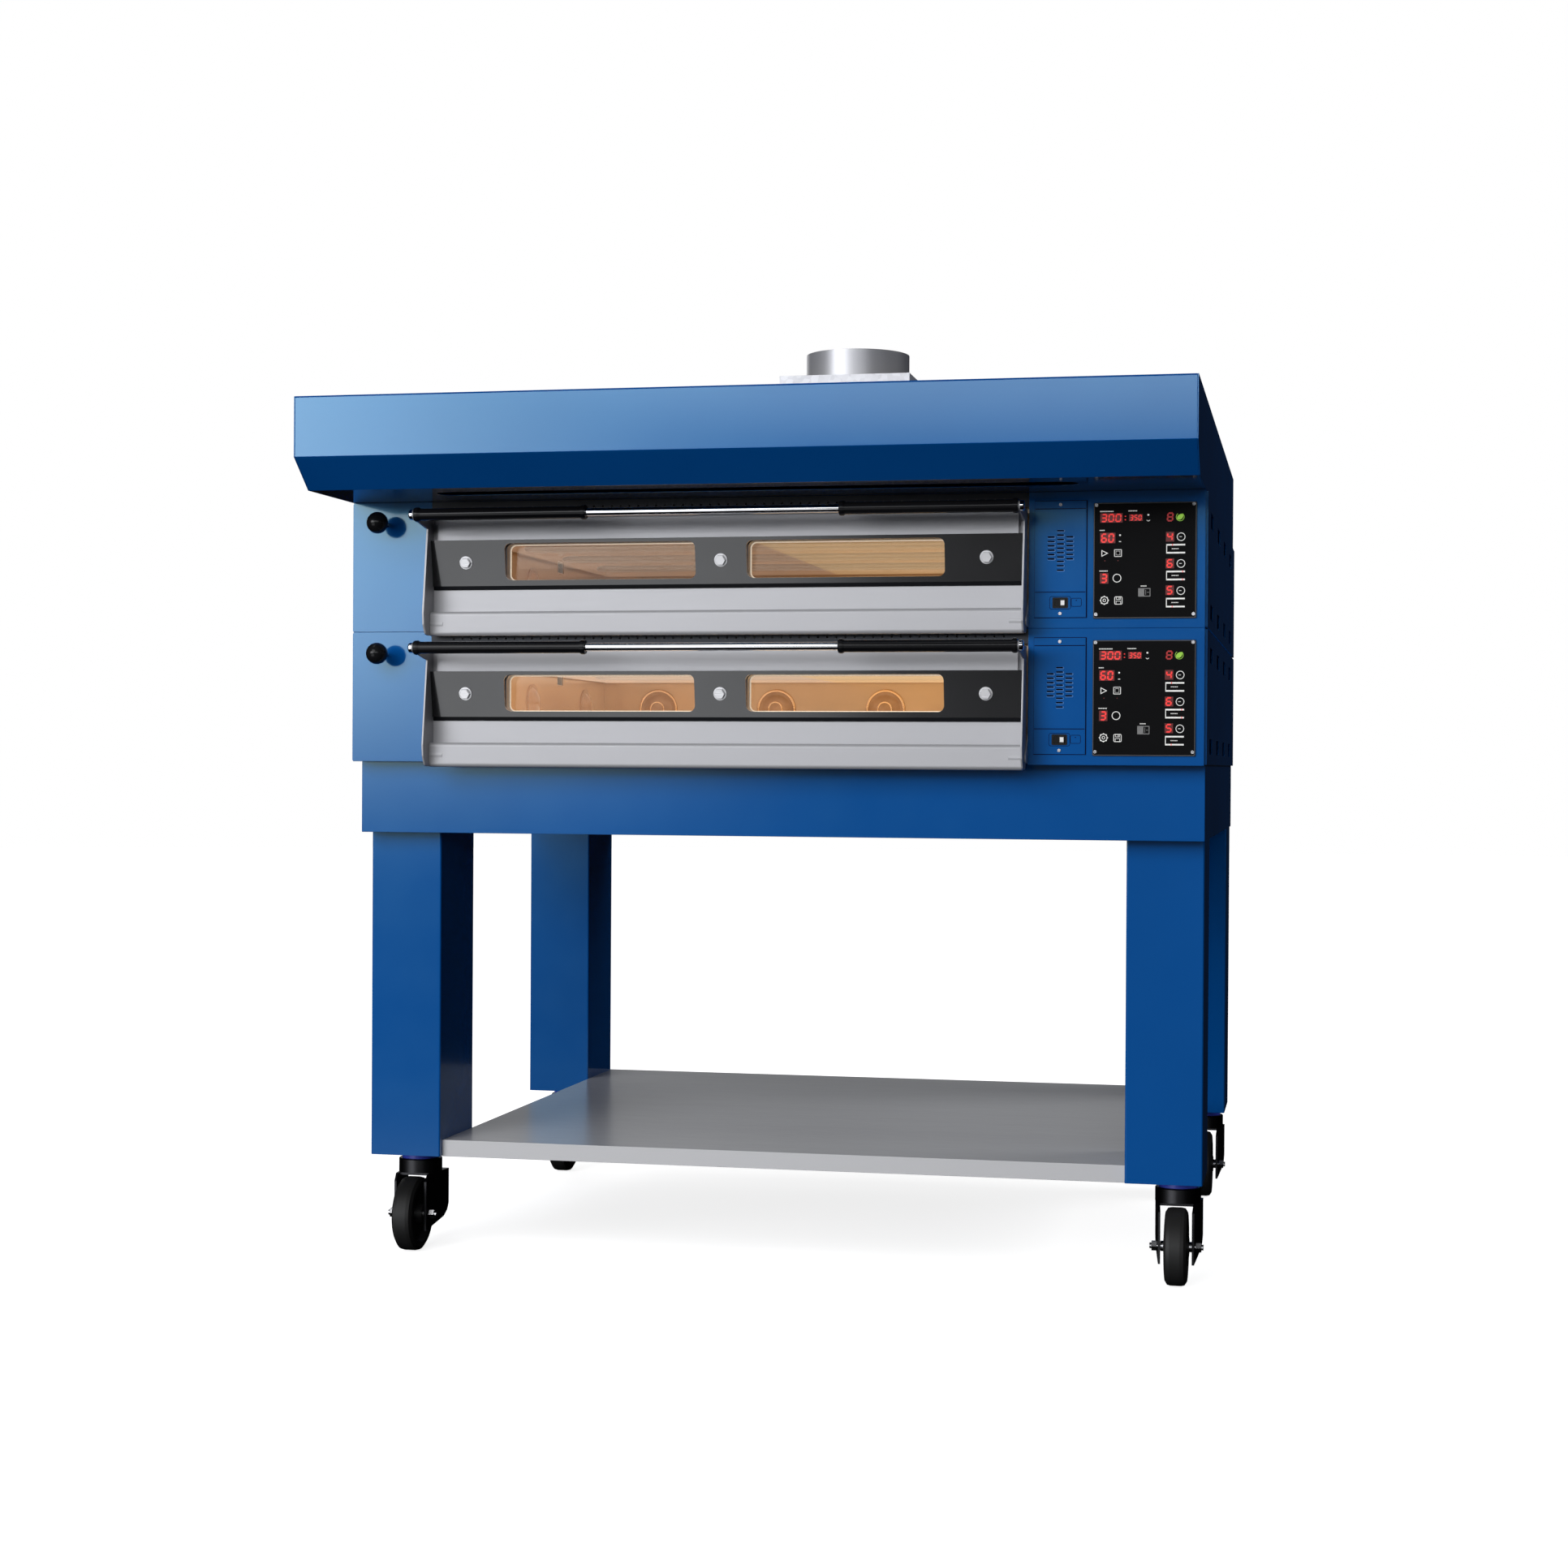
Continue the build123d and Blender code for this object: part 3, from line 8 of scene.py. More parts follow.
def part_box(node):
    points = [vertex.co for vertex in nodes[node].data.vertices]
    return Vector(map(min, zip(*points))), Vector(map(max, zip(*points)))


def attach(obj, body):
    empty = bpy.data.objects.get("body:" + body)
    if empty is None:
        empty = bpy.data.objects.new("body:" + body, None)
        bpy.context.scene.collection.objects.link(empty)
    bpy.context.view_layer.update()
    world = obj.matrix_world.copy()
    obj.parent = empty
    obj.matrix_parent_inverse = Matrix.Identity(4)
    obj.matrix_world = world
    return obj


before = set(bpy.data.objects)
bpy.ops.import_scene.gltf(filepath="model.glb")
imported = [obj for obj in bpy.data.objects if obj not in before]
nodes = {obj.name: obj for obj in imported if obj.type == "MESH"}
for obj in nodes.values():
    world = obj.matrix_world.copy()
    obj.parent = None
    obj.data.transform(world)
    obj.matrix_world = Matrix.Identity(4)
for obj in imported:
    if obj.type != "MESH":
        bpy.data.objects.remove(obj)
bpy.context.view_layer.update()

# Looks for the two-deck pizza oven. Lengths are in metres, in the frame of the CAD model: x to the
# right, y to the back, z up. Only the control panel's drawing is in millimetres.

scene = bpy.context.scene
scene.view_settings.view_transform = "Standard"

DECKS = ("lower", "upper")
CASTORS = ("front_left", "front_right", "rear_left", "rear_right")
UPPER_DECK_DROP = 0.2295        # from the top of the upper front trim down to the upper deck's floor
MM = 0.001
UP = Vector((0, 0, 1))


def deck_floors():
    """Height of each deck's floor, lower deck first."""
    return (("lower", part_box("base_plates")[0].z),
            ("upper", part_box("front_trims")[1].z - UPPER_DECK_DROP))


# ---------------------------------------------------------------- camera, light and floor

CAMERA_PLACE = (0.9506, -4.8087, 0.8991)
CAMERA_YAW, CAMERA_PITCH, CAMERA_ROLL = 0.20809, -0.00702, 0.00583
LENS_MM, SENSOR_MM = 59.05, 36
BACKDROP_RADIUS, FLOOR_RADIUS = 23, 24


def make_camera():
    """Camera in front and a little to the right, level with the top of the stand."""
    ahead = Vector((-math.sin(CAMERA_YAW), math.cos(CAMERA_YAW), 0))
    right = Vector((math.cos(CAMERA_YAW), math.sin(CAMERA_YAW), 0))
    forward = math.cos(CAMERA_PITCH) * ahead + math.sin(CAMERA_PITCH) * UP
    top = -math.sin(CAMERA_PITCH) * ahead + math.cos(CAMERA_PITCH) * UP
    side = math.cos(CAMERA_ROLL) * right + math.sin(CAMERA_ROLL) * top
    top = -math.sin(CAMERA_ROLL) * right + math.cos(CAMERA_ROLL) * top
    data = bpy.data.cameras.new("camera")
    data.lens = LENS_MM
    data.sensor_width = SENSOR_MM
    data.clip_end = 60          # past the backdrop
    camera = bpy.data.objects.new("camera", data)
    turn = Matrix((side, top, -forward)).transposed().to_4x4()
    camera.matrix_world = Matrix.Translation(CAMERA_PLACE) @ turn
    scene.collection.objects.link(camera)
    scene.camera = camera


def add_area_light(name, place, target, size, power, color=(1, 1, 1), in_reflections=True):
    """Rectangular lamp aimed at target; the camera never sees it."""
    data = bpy.data.lights.new(name, "AREA")
    data.shape = "RECTANGLE"
    data.size, data.size_y = size
    data.energy = power
    data.color = color
    lamp = bpy.data.objects.new(name, data)
    lamp.location = place
    lamp.rotation_euler = (Vector(target) - Vector(place)).to_track_quat("-Z", "Y").to_euler()
    lamp.visible_camera = False
    lamp.visible_glossy = in_reflections
    scene.collection.objects.link(lamp)


# name, place, target, size, watts, seen in reflections
STUDIO_LIGHTS = (
    ("key", (-2.0, -4.4, 3.1), (-0.1, -0.5, 0.9), (2.6, 1.8), 40, True),
    ("top", (-0.6, -1.0, 4.2), (0, 0, 1.2), (3.0, 2.0), 18, True),
    ("back", (-2.2, 4.3, 3.0), (0, 0.6, 0.9), (2.5, 2.0), 26, True),
    ("front", (-0.9, -4.4, 2.5), (0.0, -0.5, 0.9), (3.0, 2.0), 76, False),
    ("right", (3.8, 1.2, 2.6), (0.6, 0.3, 0.9), (2.0, 2.0), 44, False),
)

# share of the lamps' power and its colour, for each half of each baking chamber
CHAMBER_GLOW = {
    "lower": {"left": (0.94, (1.0, 0.85, 0.72)), "right": (1.06, (1.0, 0.79, 0.50))},
    "upper": {"left": (0.34, (1.0, 0.74, 0.56)), "right": (0.60, (1.0, 0.76, 0.45))},
}
DOWN_WATTS, UP_WATTS, WALL_WATTS = 0.7, 0.8, 0.9
ROOF_GAP, STONE_GAP, WALL_GAP = 0.174, 0.076, 0.125     # heights above the deck's floor
SIDE_GAP, END_GAP = 0.012, 0.03                         # clearances from the chamber's walls
WALL_LAMP_HEIGHT = 0.085


def make_lights():
    for name, place, target, size, watts, in_reflections in STUDIO_LIGHTS:
        add_area_light(name, place, target, size, watts, in_reflections=in_reflections)
    make_oven_glow()


def make_oven_glow():
    """Warm light inside both baking chambers, copper at the left and gold at the right."""
    chamber_low, chamber_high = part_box("baking_chambers")
    middle_x = (chamber_low.x + chamber_high.x) / 2
    middle_y = (chamber_low.y + chamber_high.y) / 2
    half = (chamber_high.x - chamber_low.x) / 4 - SIDE_GAP
    size = (2 * half, chamber_high.y - chamber_low.y - 2 * END_GAP)
    for level, floor_z in deck_floors():
        for side, x in (("left", middle_x - half), ("right", middle_x + half)):
            share, color = CHAMBER_GLOW[level][side]
            name = level + "_" + side
            middle = (x, middle_y, floor_z + WALL_GAP)
            add_area_light(name + "_down", (x, middle_y, floor_z + ROOF_GAP), middle, size,
                           DOWN_WATTS * share, color)
            add_area_light(name + "_up", (x, middle_y, floor_z + STONE_GAP), middle, size,
                           UP_WATTS * share, color)
            add_area_light(name + "_wall", (x, chamber_low.y + END_GAP, floor_z + WALL_GAP), middle,
                           (2 * half, WALL_LAMP_HEIGHT), WALL_WATTS * share, color, in_reflections=False)


def link_math(tree, operation, first, second):
    """One maths node; each operand is a number or another node's output."""
    node = tree.nodes.new("ShaderNodeMath")
    node.operation = operation
    for socket, value in zip(node.inputs, (first, second)):
        if isinstance(value, (int, float)):
            socket.default_value = value
        else:
            tree.links.new(value, socket)
    return node.outputs[0]


def link_fade(tree, value, start, end, low=0.0, high=1.0, shape="SMOOTHSTEP"):
    """Goes from low to high as value goes from start to end."""
    node = tree.nodes.new("ShaderNodeMapRange")
    node.interpolation_type = shape
    for name, number in (("From Min", start), ("From Max", end), ("To Min", low), ("To Max", high)):
        node.inputs[name].default_value = number
    tree.links.new(value, node.inputs["Value"])
    return node.outputs["Result"]


def link_panel(tree, *fades):
    """Product of fades, each given as link_fade's values; the last one carries the panel's strength."""
    panel = link_fade(tree, *fades[0])
    for fade in fades[1:]:
        panel = link_math(tree, "MULTIPLY", panel, link_fade(tree, *fade))
    return panel


SOFT_DARK, SOFT_BRIGHT = 0.004, 0.11
LEFT_PANEL, LOW_PANEL, TOP_STRIP, RIGHT_PANEL, BEHIND_PANEL = 7.6, 1.7, 4.2, 0.08, 0.30
SOFT_TOWARD = (-0.35, -0.90, 0.25)
NEARLY_ZERO = 0.05      # keeps the divisions below away from zero


def make_world():
    """Dark studio that is softly lit from the front, with panels that show as reflections.

    In front: a tall panel at the left, a dim one below it, and a strip above the camera. Besides
    these, a faint panel at the right and one behind, low enough to show only on the lower shelf.
    """
    world = bpy.data.worlds.new("studio")
    scene.world = world
    world.use_nodes = True
    tree = world.node_tree
    background = tree.nodes["Background"]
    coordinates = tree.nodes.new("ShaderNodeTexCoord")
    split = tree.nodes.new("ShaderNodeSeparateXYZ")
    tree.links.new(coordinates.outputs["Generated"], split.inputs[0])
    x, y, z = split.outputs
    ahead = link_math(tree, "MULTIPLY", y, -1.0)
    sideways = link_math(tree, "DIVIDE", x, link_math(tree, "MAXIMUM", ahead, NEARLY_ZERO))
    backward = link_math(tree, "DIVIDE", x, link_math(tree, "MAXIMUM", y, NEARLY_ZERO))

    toward = tree.nodes.new("ShaderNodeVectorMath")
    toward.operation = "DOT_PRODUCT"
    toward.inputs[1].default_value = Vector(SOFT_TOWARD).normalized()
    tree.links.new(coordinates.outputs["Generated"], toward.inputs[0])
    soft = link_panel(tree, (toward.outputs["Value"], 0.30, 0.95, SOFT_DARK, SOFT_BRIGHT),
                      (z, -0.45, 0.10, 0.25, 1.0))
    left = link_panel(tree, (sideways, -0.20, -0.47, 0.0, 1.0, "LINEAR"), (sideways, -1.5, -0.8),
                      (z, -0.045, 0.06), (z, 0.34, 0.22, 0.0, LEFT_PANEL))
    low = link_panel(tree, (sideways, -0.165, -0.225), (sideways, -1.2, -0.7),
                     (z, -0.12, -0.22), (z, -0.6, -0.35, 0.0, LOW_PANEL))
    strip = link_panel(tree, (sideways, 0.75, 0.30), (sideways, -0.75, -0.45),
                       (z, 0.112, 0.152), (z, 0.30, 0.21, 0.0, TOP_STRIP))
    right = link_panel(tree, (sideways, 1.1, 1.7), (sideways, 5.0, 2.6), (ahead, 0.10, 0.20),
                       (z, -0.10, 0.10, 0.0, RIGHT_PANEL))
    behind = link_panel(tree, (y, 0.70, 0.95), (backward, -0.03, -0.09),
                        (z, 0.065, 0.11), (z, 0.45, 0.20, 0.0, BEHIND_PANEL))

    in_front = link_fade(tree, ahead, 0.25, 0.60)
    panels = link_math(tree, "MAXIMUM", link_math(tree, "MAXIMUM", left, strip), low)
    panels = link_math(tree, "ADD", link_math(tree, "MULTIPLY", panels, in_front), right)
    total = link_math(tree, "ADD", soft, link_math(tree, "ADD", panels, behind))
    background.inputs["Color"].default_value = (0.95, 0.97, 1.0, 1)
    tree.links.new(total, background.inputs["Strength"])


def make_stage_piece(name, material, make_shape, **sizes):
    """Floor or backdrop: seen by the camera, but it lights and tints nothing."""
    mesh = bpy.data.meshes.new(name)
    builder = bmesh.new()
    make_shape(builder, **sizes)
    builder.to_mesh(mesh)
    builder.free()
    mesh.materials.append(material)
    piece = bpy.data.objects.new(name, mesh)
    scene.collection.objects.link(piece)
    piece.visible_diffuse = False
    piece.visible_glossy = False
    piece.visible_transmission = False
    piece.visible_volume_scatter = False
    return piece


def make_surroundings():
    """A pale floor that brightens away from the oven, and a white backdrop."""
    floor_material, tree, shader = start_material("pale_floor", 0.9)
    shader.inputs["Base Color"].default_value = (0.86, 0.86, 0.87, 1)
    shader.inputs["Specular IOR Level"].default_value = 0.1
    shader.inputs["Emission Color"].default_value = (1, 1, 1, 1)
    coordinates = tree.nodes.new("ShaderNodeTexCoord")
    distance = tree.nodes.new("ShaderNodeVectorMath")
    distance.operation = "LENGTH"
    tree.links.new(coordinates.outputs["Object"], distance.inputs[0])
    glow = link_fade(tree, distance.outputs["Value"], 0.7, 2.2, 0.80, 1.0, "LINEAR")
    tree.links.new(glow, shader.inputs["Emission Strength"])
    floor = make_stage_piece("floor", floor_material, bmesh.ops.create_circle,
                             cap_ends=True, segments=96, radius=FLOOR_RADIUS)
    floor.location.z = -0.0005

    backdrop_material, tree, shader = start_material("white_backdrop", 0.5)
    shader.inputs["Base Color"].default_value = (0, 0, 0, 1)
    shader.inputs["Specular IOR Level"].default_value = 0
    shader.inputs["Emission Color"].default_value = (1, 1, 1, 1)
    shader.inputs["Emission Strength"].default_value = 1.0
    backdrop = make_stage_piece("backdrop", backdrop_material, bmesh.ops.create_uvsphere,
                                u_segments=48, v_segments=24, radius=BACKDROP_RADIUS)
    backdrop.visible_shadow = False


# ---------------------------------------------------------------- material helpers

def start_material(name, roughness, metallic=0.0):
    """New material with its node tree and its Principled shader."""
    material = bpy.data.materials.new(name)
    material.use_nodes = True
    shader = material.node_tree.nodes["Principled BSDF"]
    shader.inputs["Roughness"].default_value = roughness
    shader.inputs["Metallic"].default_value = metallic
    return material, material.node_tree, shader


def add_noise(tree, scale, stretch=(1, 1, 1), detail=3):
    """Noise in the frame's own metres, so that it has the same size on every piece."""
    coordinates = tree.nodes.new("ShaderNodeTexCoord")
    mapping = tree.nodes.new("ShaderNodeMapping")
    mapping.inputs["Scale"].default_value = stretch
    noise = tree.nodes.new("ShaderNodeTexNoise")
    noise.inputs["Scale"].default_value = scale
    noise.inputs["Detail"].default_value = detail
    tree.links.new(coordinates.outputs["Object"], mapping.inputs["Vector"])
    tree.links.new(mapping.outputs["Vector"], noise.inputs["Vector"])
    return noise.outputs["Fac"]


def add_ramp(tree, factor, target, first, second, span=(0.35, 0.65)):
    """Sends a value through a two-colour ramp into a shader socket."""
    ramp = tree.nodes.new("ShaderNodeValToRGB")
    for stop, position, color in zip(ramp.color_ramp.elements, span, (first, second)):
        stop.position = position
        stop.color = (*color, 1)
    tree.links.new(factor, ramp.inputs["Fac"])
    tree.links.new(ramp.outputs["Color"], target)


def add_range(tree, factor, target, low, high):
    """Sends a 0 to 1 value, rescaled, into a shader socket."""
    scale = tree.nodes.new("ShaderNodeMapRange")
    scale.inputs["To Min"].default_value = low
    scale.inputs["To Max"].default_value = high
    tree.links.new(factor, scale.inputs["Value"])
    tree.links.new(scale.outputs["Result"], target)


def add_bump(tree, shader, height, strength, distance):
    """Surface relief; distance is its depth in metres."""
    bump = tree.nodes.new("ShaderNodeBump")
    bump.inputs["Strength"].default_value = strength
    bump.inputs["Distance"].default_value = distance
    tree.links.new(height, bump.inputs["Height"])
    tree.links.new(bump.outputs["Normal"], shader.inputs["Normal"])


# How fine the noise is, per metre: slow colour drift, wear, orange peel and brushed lines.
DRIFT, WEAR, PEEL, LINES = 2.2, 14, 900, 420


def painted(name, dark, light, roughness, depth=0.00004, specular=0.5, coat=0.0, tint=(1, 1, 1)):
    """Paint, plastic or rubber: slow colour drift and a fine orange-peel surface."""
    material, tree, shader = start_material(name, roughness)
    shader.inputs["Specular IOR Level"].default_value = specular
    shader.inputs["Specular Tint"].default_value = (*tint, 1)
    shader.inputs["Coat Weight"].default_value = coat
    shader.inputs["Coat Roughness"].default_value = 0.07
    add_ramp(tree, add_noise(tree, DRIFT), shader.inputs["Base Color"], dark, light)
    add_range(tree, add_noise(tree, WEAR), shader.inputs["Roughness"], roughness - 0.04, roughness + 0.05)
    add_bump(tree, shader, add_noise(tree, PEEL, detail=2), 0.12, depth)
    return material


def brushed(name, dark, light, roughness, stretch, depth=0.00002, metallic=1.0):
    """Brushed sheet steel, with its fine lines along the axis that stretch leaves small."""
    material, tree, shader = start_material(name, roughness, metallic)
    lines = add_noise(tree, LINES, stretch, 4)
    add_ramp(tree, add_noise(tree, 3.1, stretch), shader.inputs["Base Color"], dark, light)
    add_range(tree, lines, shader.inputs["Roughness"], roughness - 0.07, roughness + 0.08)
    add_bump(tree, shader, lines, 0.10, depth)
    return material


def polished(name, dark, light, roughness):
    """Bright turned or plated metal."""
    material, tree, shader = start_material(name, roughness, 1.0)
    add_ramp(tree, add_noise(tree, 9), shader.inputs["Base Color"], dark, light)
    add_range(tree, add_noise(tree, 60), shader.inputs["Roughness"], roughness * 0.7, roughness * 1.4)
    return material


def galvanised(name):
    """Zinc coat with its faint spangle."""
    material, tree, shader = start_material(name, 0.42, 0.35)
    coordinates = tree.nodes.new("ShaderNodeTexCoord")
    spangle = tree.nodes.new("ShaderNodeTexVoronoi")
    spangle.inputs["Scale"].default_value = 95
    tree.links.new(coordinates.outputs["Object"], spangle.inputs["Vector"])
    add_ramp(tree, spangle.outputs["Color"], shader.inputs["Base Color"],
             (0.52, 0.52, 0.54), (0.62, 0.62, 0.64), (0.1, 0.9))
    add_range(tree, add_noise(tree, 40), shader.inputs["Roughness"], 0.36, 0.50)
    return material


def clear_glass(name, tint):
    """Smooth window glass that tints what is seen through it."""
    material, tree, shader = start_material(name, 0.0)
    shader.inputs["Transmission Weight"].default_value = 1.0
    shader.inputs["IOR"].default_value = 1.25       # lower than real glass, for weaker reflections
    add_ramp(tree, add_noise(tree, 5), shader.inputs["Base Color"], tint, [min(1, c * 1.04) for c in tint])
    return material


def lamp_glass(name):
    """Thick amber glass of an oven lamp, part clear and part glossy, lit a little from inside."""
    material, tree, shader = start_material(name, 0.06)
    shader.inputs["Transmission Weight"].default_value = 0.35
    shader.inputs["IOR"].default_value = 1.45
    shader.inputs["Coat Weight"].default_value = 1.0
    shader.inputs["Coat Roughness"].default_value = 0.03
    shader.inputs["Emission Strength"].default_value = 0.04
    waves = add_noise(tree, 30)
    add_ramp(tree, waves, shader.inputs["Base Color"], (0.46, 0.28, 0.16), (0.58, 0.37, 0.22))
    add_ramp(tree, waves, shader.inputs["Emission Color"], (0.80, 0.48, 0.26), (1.0, 0.66, 0.40))
    return material


def glowing(name, color, strength):
    """Surface that gives off a little light, a touch uneven."""
    material, tree, shader = start_material(name, 0.4)
    shader.inputs["Emission Strength"].default_value = strength
    glow = add_noise(tree, 300)
    add_ramp(tree, glow, shader.inputs["Emission Color"], [c * 0.9 for c in color], color)
    add_ramp(tree, glow, shader.inputs["Base Color"], [c * 0.5 for c in color], [c * 0.6 for c in color])
    return material


def rough_stone(name):
    """Pale fired stone with an open grain."""
    material, tree, shader = start_material(name, 0.9)
    grain = add_noise(tree, 260, detail=6)
    add_ramp(tree, grain, shader.inputs["Base Color"], (0.50, 0.44, 0.35), (0.72, 0.66, 0.56))
    add_bump(tree, shader, grain, 0.5, 0.0006)
    return material


def mineral_wool(name):
    """Yellowish insulation with flat-lying fibres."""
    material, tree, shader = start_material(name, 1.0)
    fibre = add_noise(tree, 500, (1, 1, 3), 6)
    add_ramp(tree, fibre, shader.inputs["Base Color"], (0.42, 0.38, 0.22), (0.70, 0.66, 0.46))
    add_bump(tree, shader, fibre, 0.8, 0.002)
    return material


def make_slot_materials():
    """One material per slot; along_x and along_z are the directions of brushed lines."""
    along_x, along_z = (0.03, 1, 1), (1, 1, 0.03)
    return {
        "blue_paint": painted("blue_paint", (0.0008, 0.070, 0.285), (0.0014, 0.077, 0.310), 0.14,
                              coat=0.6, tint=(0.35, 0.90, 1.0)),
        "cover_paint": painted("cover_paint", (0.0010, 0.064, 0.262), (0.0018, 0.071, 0.290), 0.62,
                               specular=0.10),
        "shelf_steel": brushed("shelf_steel", (0.52, 0.52, 0.535), (0.57, 0.57, 0.585), 0.22, along_x,
                               metallic=0.0),
        "galvanised": galvanised("galvanised"),
        "dark_trim": painted("dark_trim", (0.010, 0.013, 0.020), (0.016, 0.020, 0.030), 0.38,
                             specular=0.3),
        "bolt_steel": brushed("bolt_steel", (0.70, 0.70, 0.72), (0.80, 0.80, 0.82), 0.25, along_x,
                              metallic=0.35),
        "polished_steel": brushed("polished_steel", (0.44, 0.44, 0.46), (0.50, 0.50, 0.52), 0.38, along_z,
                                  metallic=0.60),
        "stainless": brushed("stainless", (0.42, 0.42, 0.44), (0.46, 0.46, 0.48), 0.46, along_x,
                             metallic=0.30),
        "chamber_steel": brushed("chamber_steel", (0.70, 0.54, 0.38), (0.76, 0.60, 0.44), 0.16, along_x,
                                 depth=0.000003, metallic=0.6),
        "wool": mineral_wool("wool"),
        "stone": rough_stone("stone"),
        "element_steel": brushed("element_steel", (0.22, 0.19, 0.17), (0.36, 0.32, 0.29), 0.45,
                                 along_x),
        "lamp_glass": lamp_glass("lamp_glass"),
        "lamp_rim": polished("lamp_rim", (0.86, 0.66, 0.46), (0.92, 0.74, 0.55), 0.12),
        "window_glass": clear_glass("window_glass", (0.92, 0.83, 0.73)),
        "window_band": painted("window_band", (0.006, 0.006, 0.007), (0.009, 0.009, 0.010), 0.22,
                               coat=1.0),
        "panel_black": painted("panel_black", (0.0015, 0.0015, 0.002), (0.0025, 0.0025, 0.003), 0.5,
                               specular=0.08),
        "switch_black": painted("switch_black", (0.004, 0.004, 0.004), (0.007, 0.007, 0.007), 0.35,
                                specular=0.2),
        "switch_mark": painted("switch_detail", (0.60, 0.60, 0.60), (0.72, 0.72, 0.72), 0.30),
        "screws": polished("screws", (0.62, 0.62, 0.64), (0.80, 0.80, 0.82), 0.22),
        "board": painted("board", (0.010, 0.09, 0.035), (0.016, 0.12, 0.050), 0.5),
        "chrome_bar": polished("chrome_bar", (0.78, 0.78, 0.80), (0.88, 0.88, 0.90), 0.10),
        "grip_black": painted("grip_black", (0.004, 0.004, 0.005), (0.008, 0.008, 0.009), 0.16,
                              specular=0.22),
        "castor_plate": painted("castor_plate", (0.04, 0.06, 0.50), (0.06, 0.09, 0.62), 0.35),
        "castor_metal": brushed("castor_metal", (0.035, 0.035, 0.038), (0.060, 0.060, 0.064), 0.33,
                                along_z),
        "castor_bolts": polished("castor_bolts", (0.60, 0.60, 0.62), (0.75, 0.75, 0.77), 0.25),
        "tyre_black": painted("tyre_black", (0.010, 0.010, 0.010), (0.018, 0.018, 0.018), 0.5,
                              specular=0.35, depth=0.0001),
    }


SLOT_NODES = {
    "cover_paint": ["hood_cover", "top_plates"],
    "blue_paint": ["stand_frame", "stand_legs", "hood_front", "hood_sides", "base_plates", "side_panels",
                   "back_panels", "fascia_panels", "vent_covers"],
    "shelf_steel": ["lower_shelf"],
    "galvanised": ["flue_box", "steam_ducts", "hinge_brackets"],
    "dark_trim": ["front_trims"],
    "polished_steel": ["flue_collar"],
    "chamber_steel": ["baking_chambers"],
    "wool": ["insulation_jackets"],
    "stone": ["hearth_stones"],
    "element_steel": ["heating_elements"],
    "lamp_glass": ["oven_lamps"],
    "panel_black": ["control_panels", "cable_glands"],
    "switch_black": ["switch_housings"],
    "screws": ["panel_screws"],
    "board": ["circuit_boards"],
    "castor_plate": ["castor_top_plates"],
}
DECK_NODES = {
    "stainless": ["door_shell", "door_arms"],
    "window_band": ["door_band"],
    "window_glass": ["door_glass"],
    "bolt_steel": ["door_bolts"],
    "chrome_bar": ["handle_bar", "vent_rod"],
    "grip_black": ["handle_grips", "vent_knob"],
    "switch_black": ["power_switch"],
}
CASTOR_NODES = {
    "castor_metal": "castor_fork_",
    "castor_bolts": "castor_axle_",
    "tyre_black": "castor_wheel_",
}


def list_slot_nodes():
    """Every CAD node with its slot name."""
    for slot_name, names in SLOT_NODES.items():
        for name in names:
            yield name, slot_name
    for slot_name, parts in DECK_NODES.items():
        for part in parts:
            for level in DECKS:
                yield level + "_" + part, slot_name
    for slot_name, start in CASTOR_NODES.items():
        for corner in CASTORS:
            yield start + corner, slot_name


def dress_nodes(materials):
    for name, slot_name in list_slot_nodes():
        mesh = nodes[name].data
        mesh.materials.clear()
        mesh.materials.append(materials[slot_name])
        for polygon in mesh.polygons:
            polygon.material_index = 0


EDGE_ANGLE = math.radians(35)       # only sharper edges than this are rounded
EDGE_ROUNDS = {
    "stand_frame": 0.0008, "stand_legs": 0.0010, "lower_shelf": 0.0008, "hood_front": 0.0008,
    "hood_sides": 0.0006, "hood_cover": 0.0008, "flue_box": 0.0006, "fascia_panels": 0.0007,
    "side_panels": 0.0007, "back_panels": 0.0005, "control_panels": 0.0008, "vent_covers": 0.0009,
    "lower_door_shell": 0.0006, "upper_door_shell": 0.0006, "lower_door_band": 0.0006,
    "upper_door_band": 0.0006, "lower_door_arms": 0.0006, "upper_door_arms": 0.0006,
}


def add_bevel(piece, width):
    bevel = piece.modifiers.new("bevel", "BEVEL")
    bevel.width = width
    bevel.segments = 2
    bevel.limit_method = "ANGLE"
    bevel.angle_limit = EDGE_ANGLE
    return bevel


def soften_edges():
    """Gives the CAD nodes' sharp edges a small round, as folded and machined edges have."""
    for name, width in EDGE_ROUNDS.items():
        piece = nodes[name]
        weld = piece.modifiers.new("weld", "WELD")
        weld.merge_threshold = 0.00001
        flat = piece.modifiers.new("flat", "DECIMATE")
        flat.decimate_type = "DISSOLVE"
        flat.angle_limit = math.radians(0.5)
        add_bevel(piece, width).use_clamp_overlap = True
        normals = piece.modifiers.new("normals", "WEIGHTED_NORMAL")
        normals.keep_sharp = False
        normals.weight = 80


# ---------------------------------------------------------------- mesh helpers

def join_loops(builder, loops):
    """Bands of faces from each closed loop of vertices to the next."""
    for loop, following in zip(loops, loops[1:]):
        for a in range(len(loop)):
            b = (a + 1) % len(loop)
            builder.faces.new((loop[a], loop[b], following[b], following[a]))


def add_prism(builder, outline, front, depth):
    """Closed prism: outline in (x, z), from y = front back to y = front + depth."""
    near, far = ([builder.verts.new((x, y, z)) for x, z in outline] for y in (front, front + depth))
    builder.faces.new(near)
    builder.faces.new(far[::-1])
    join_loops(builder, [far, near])


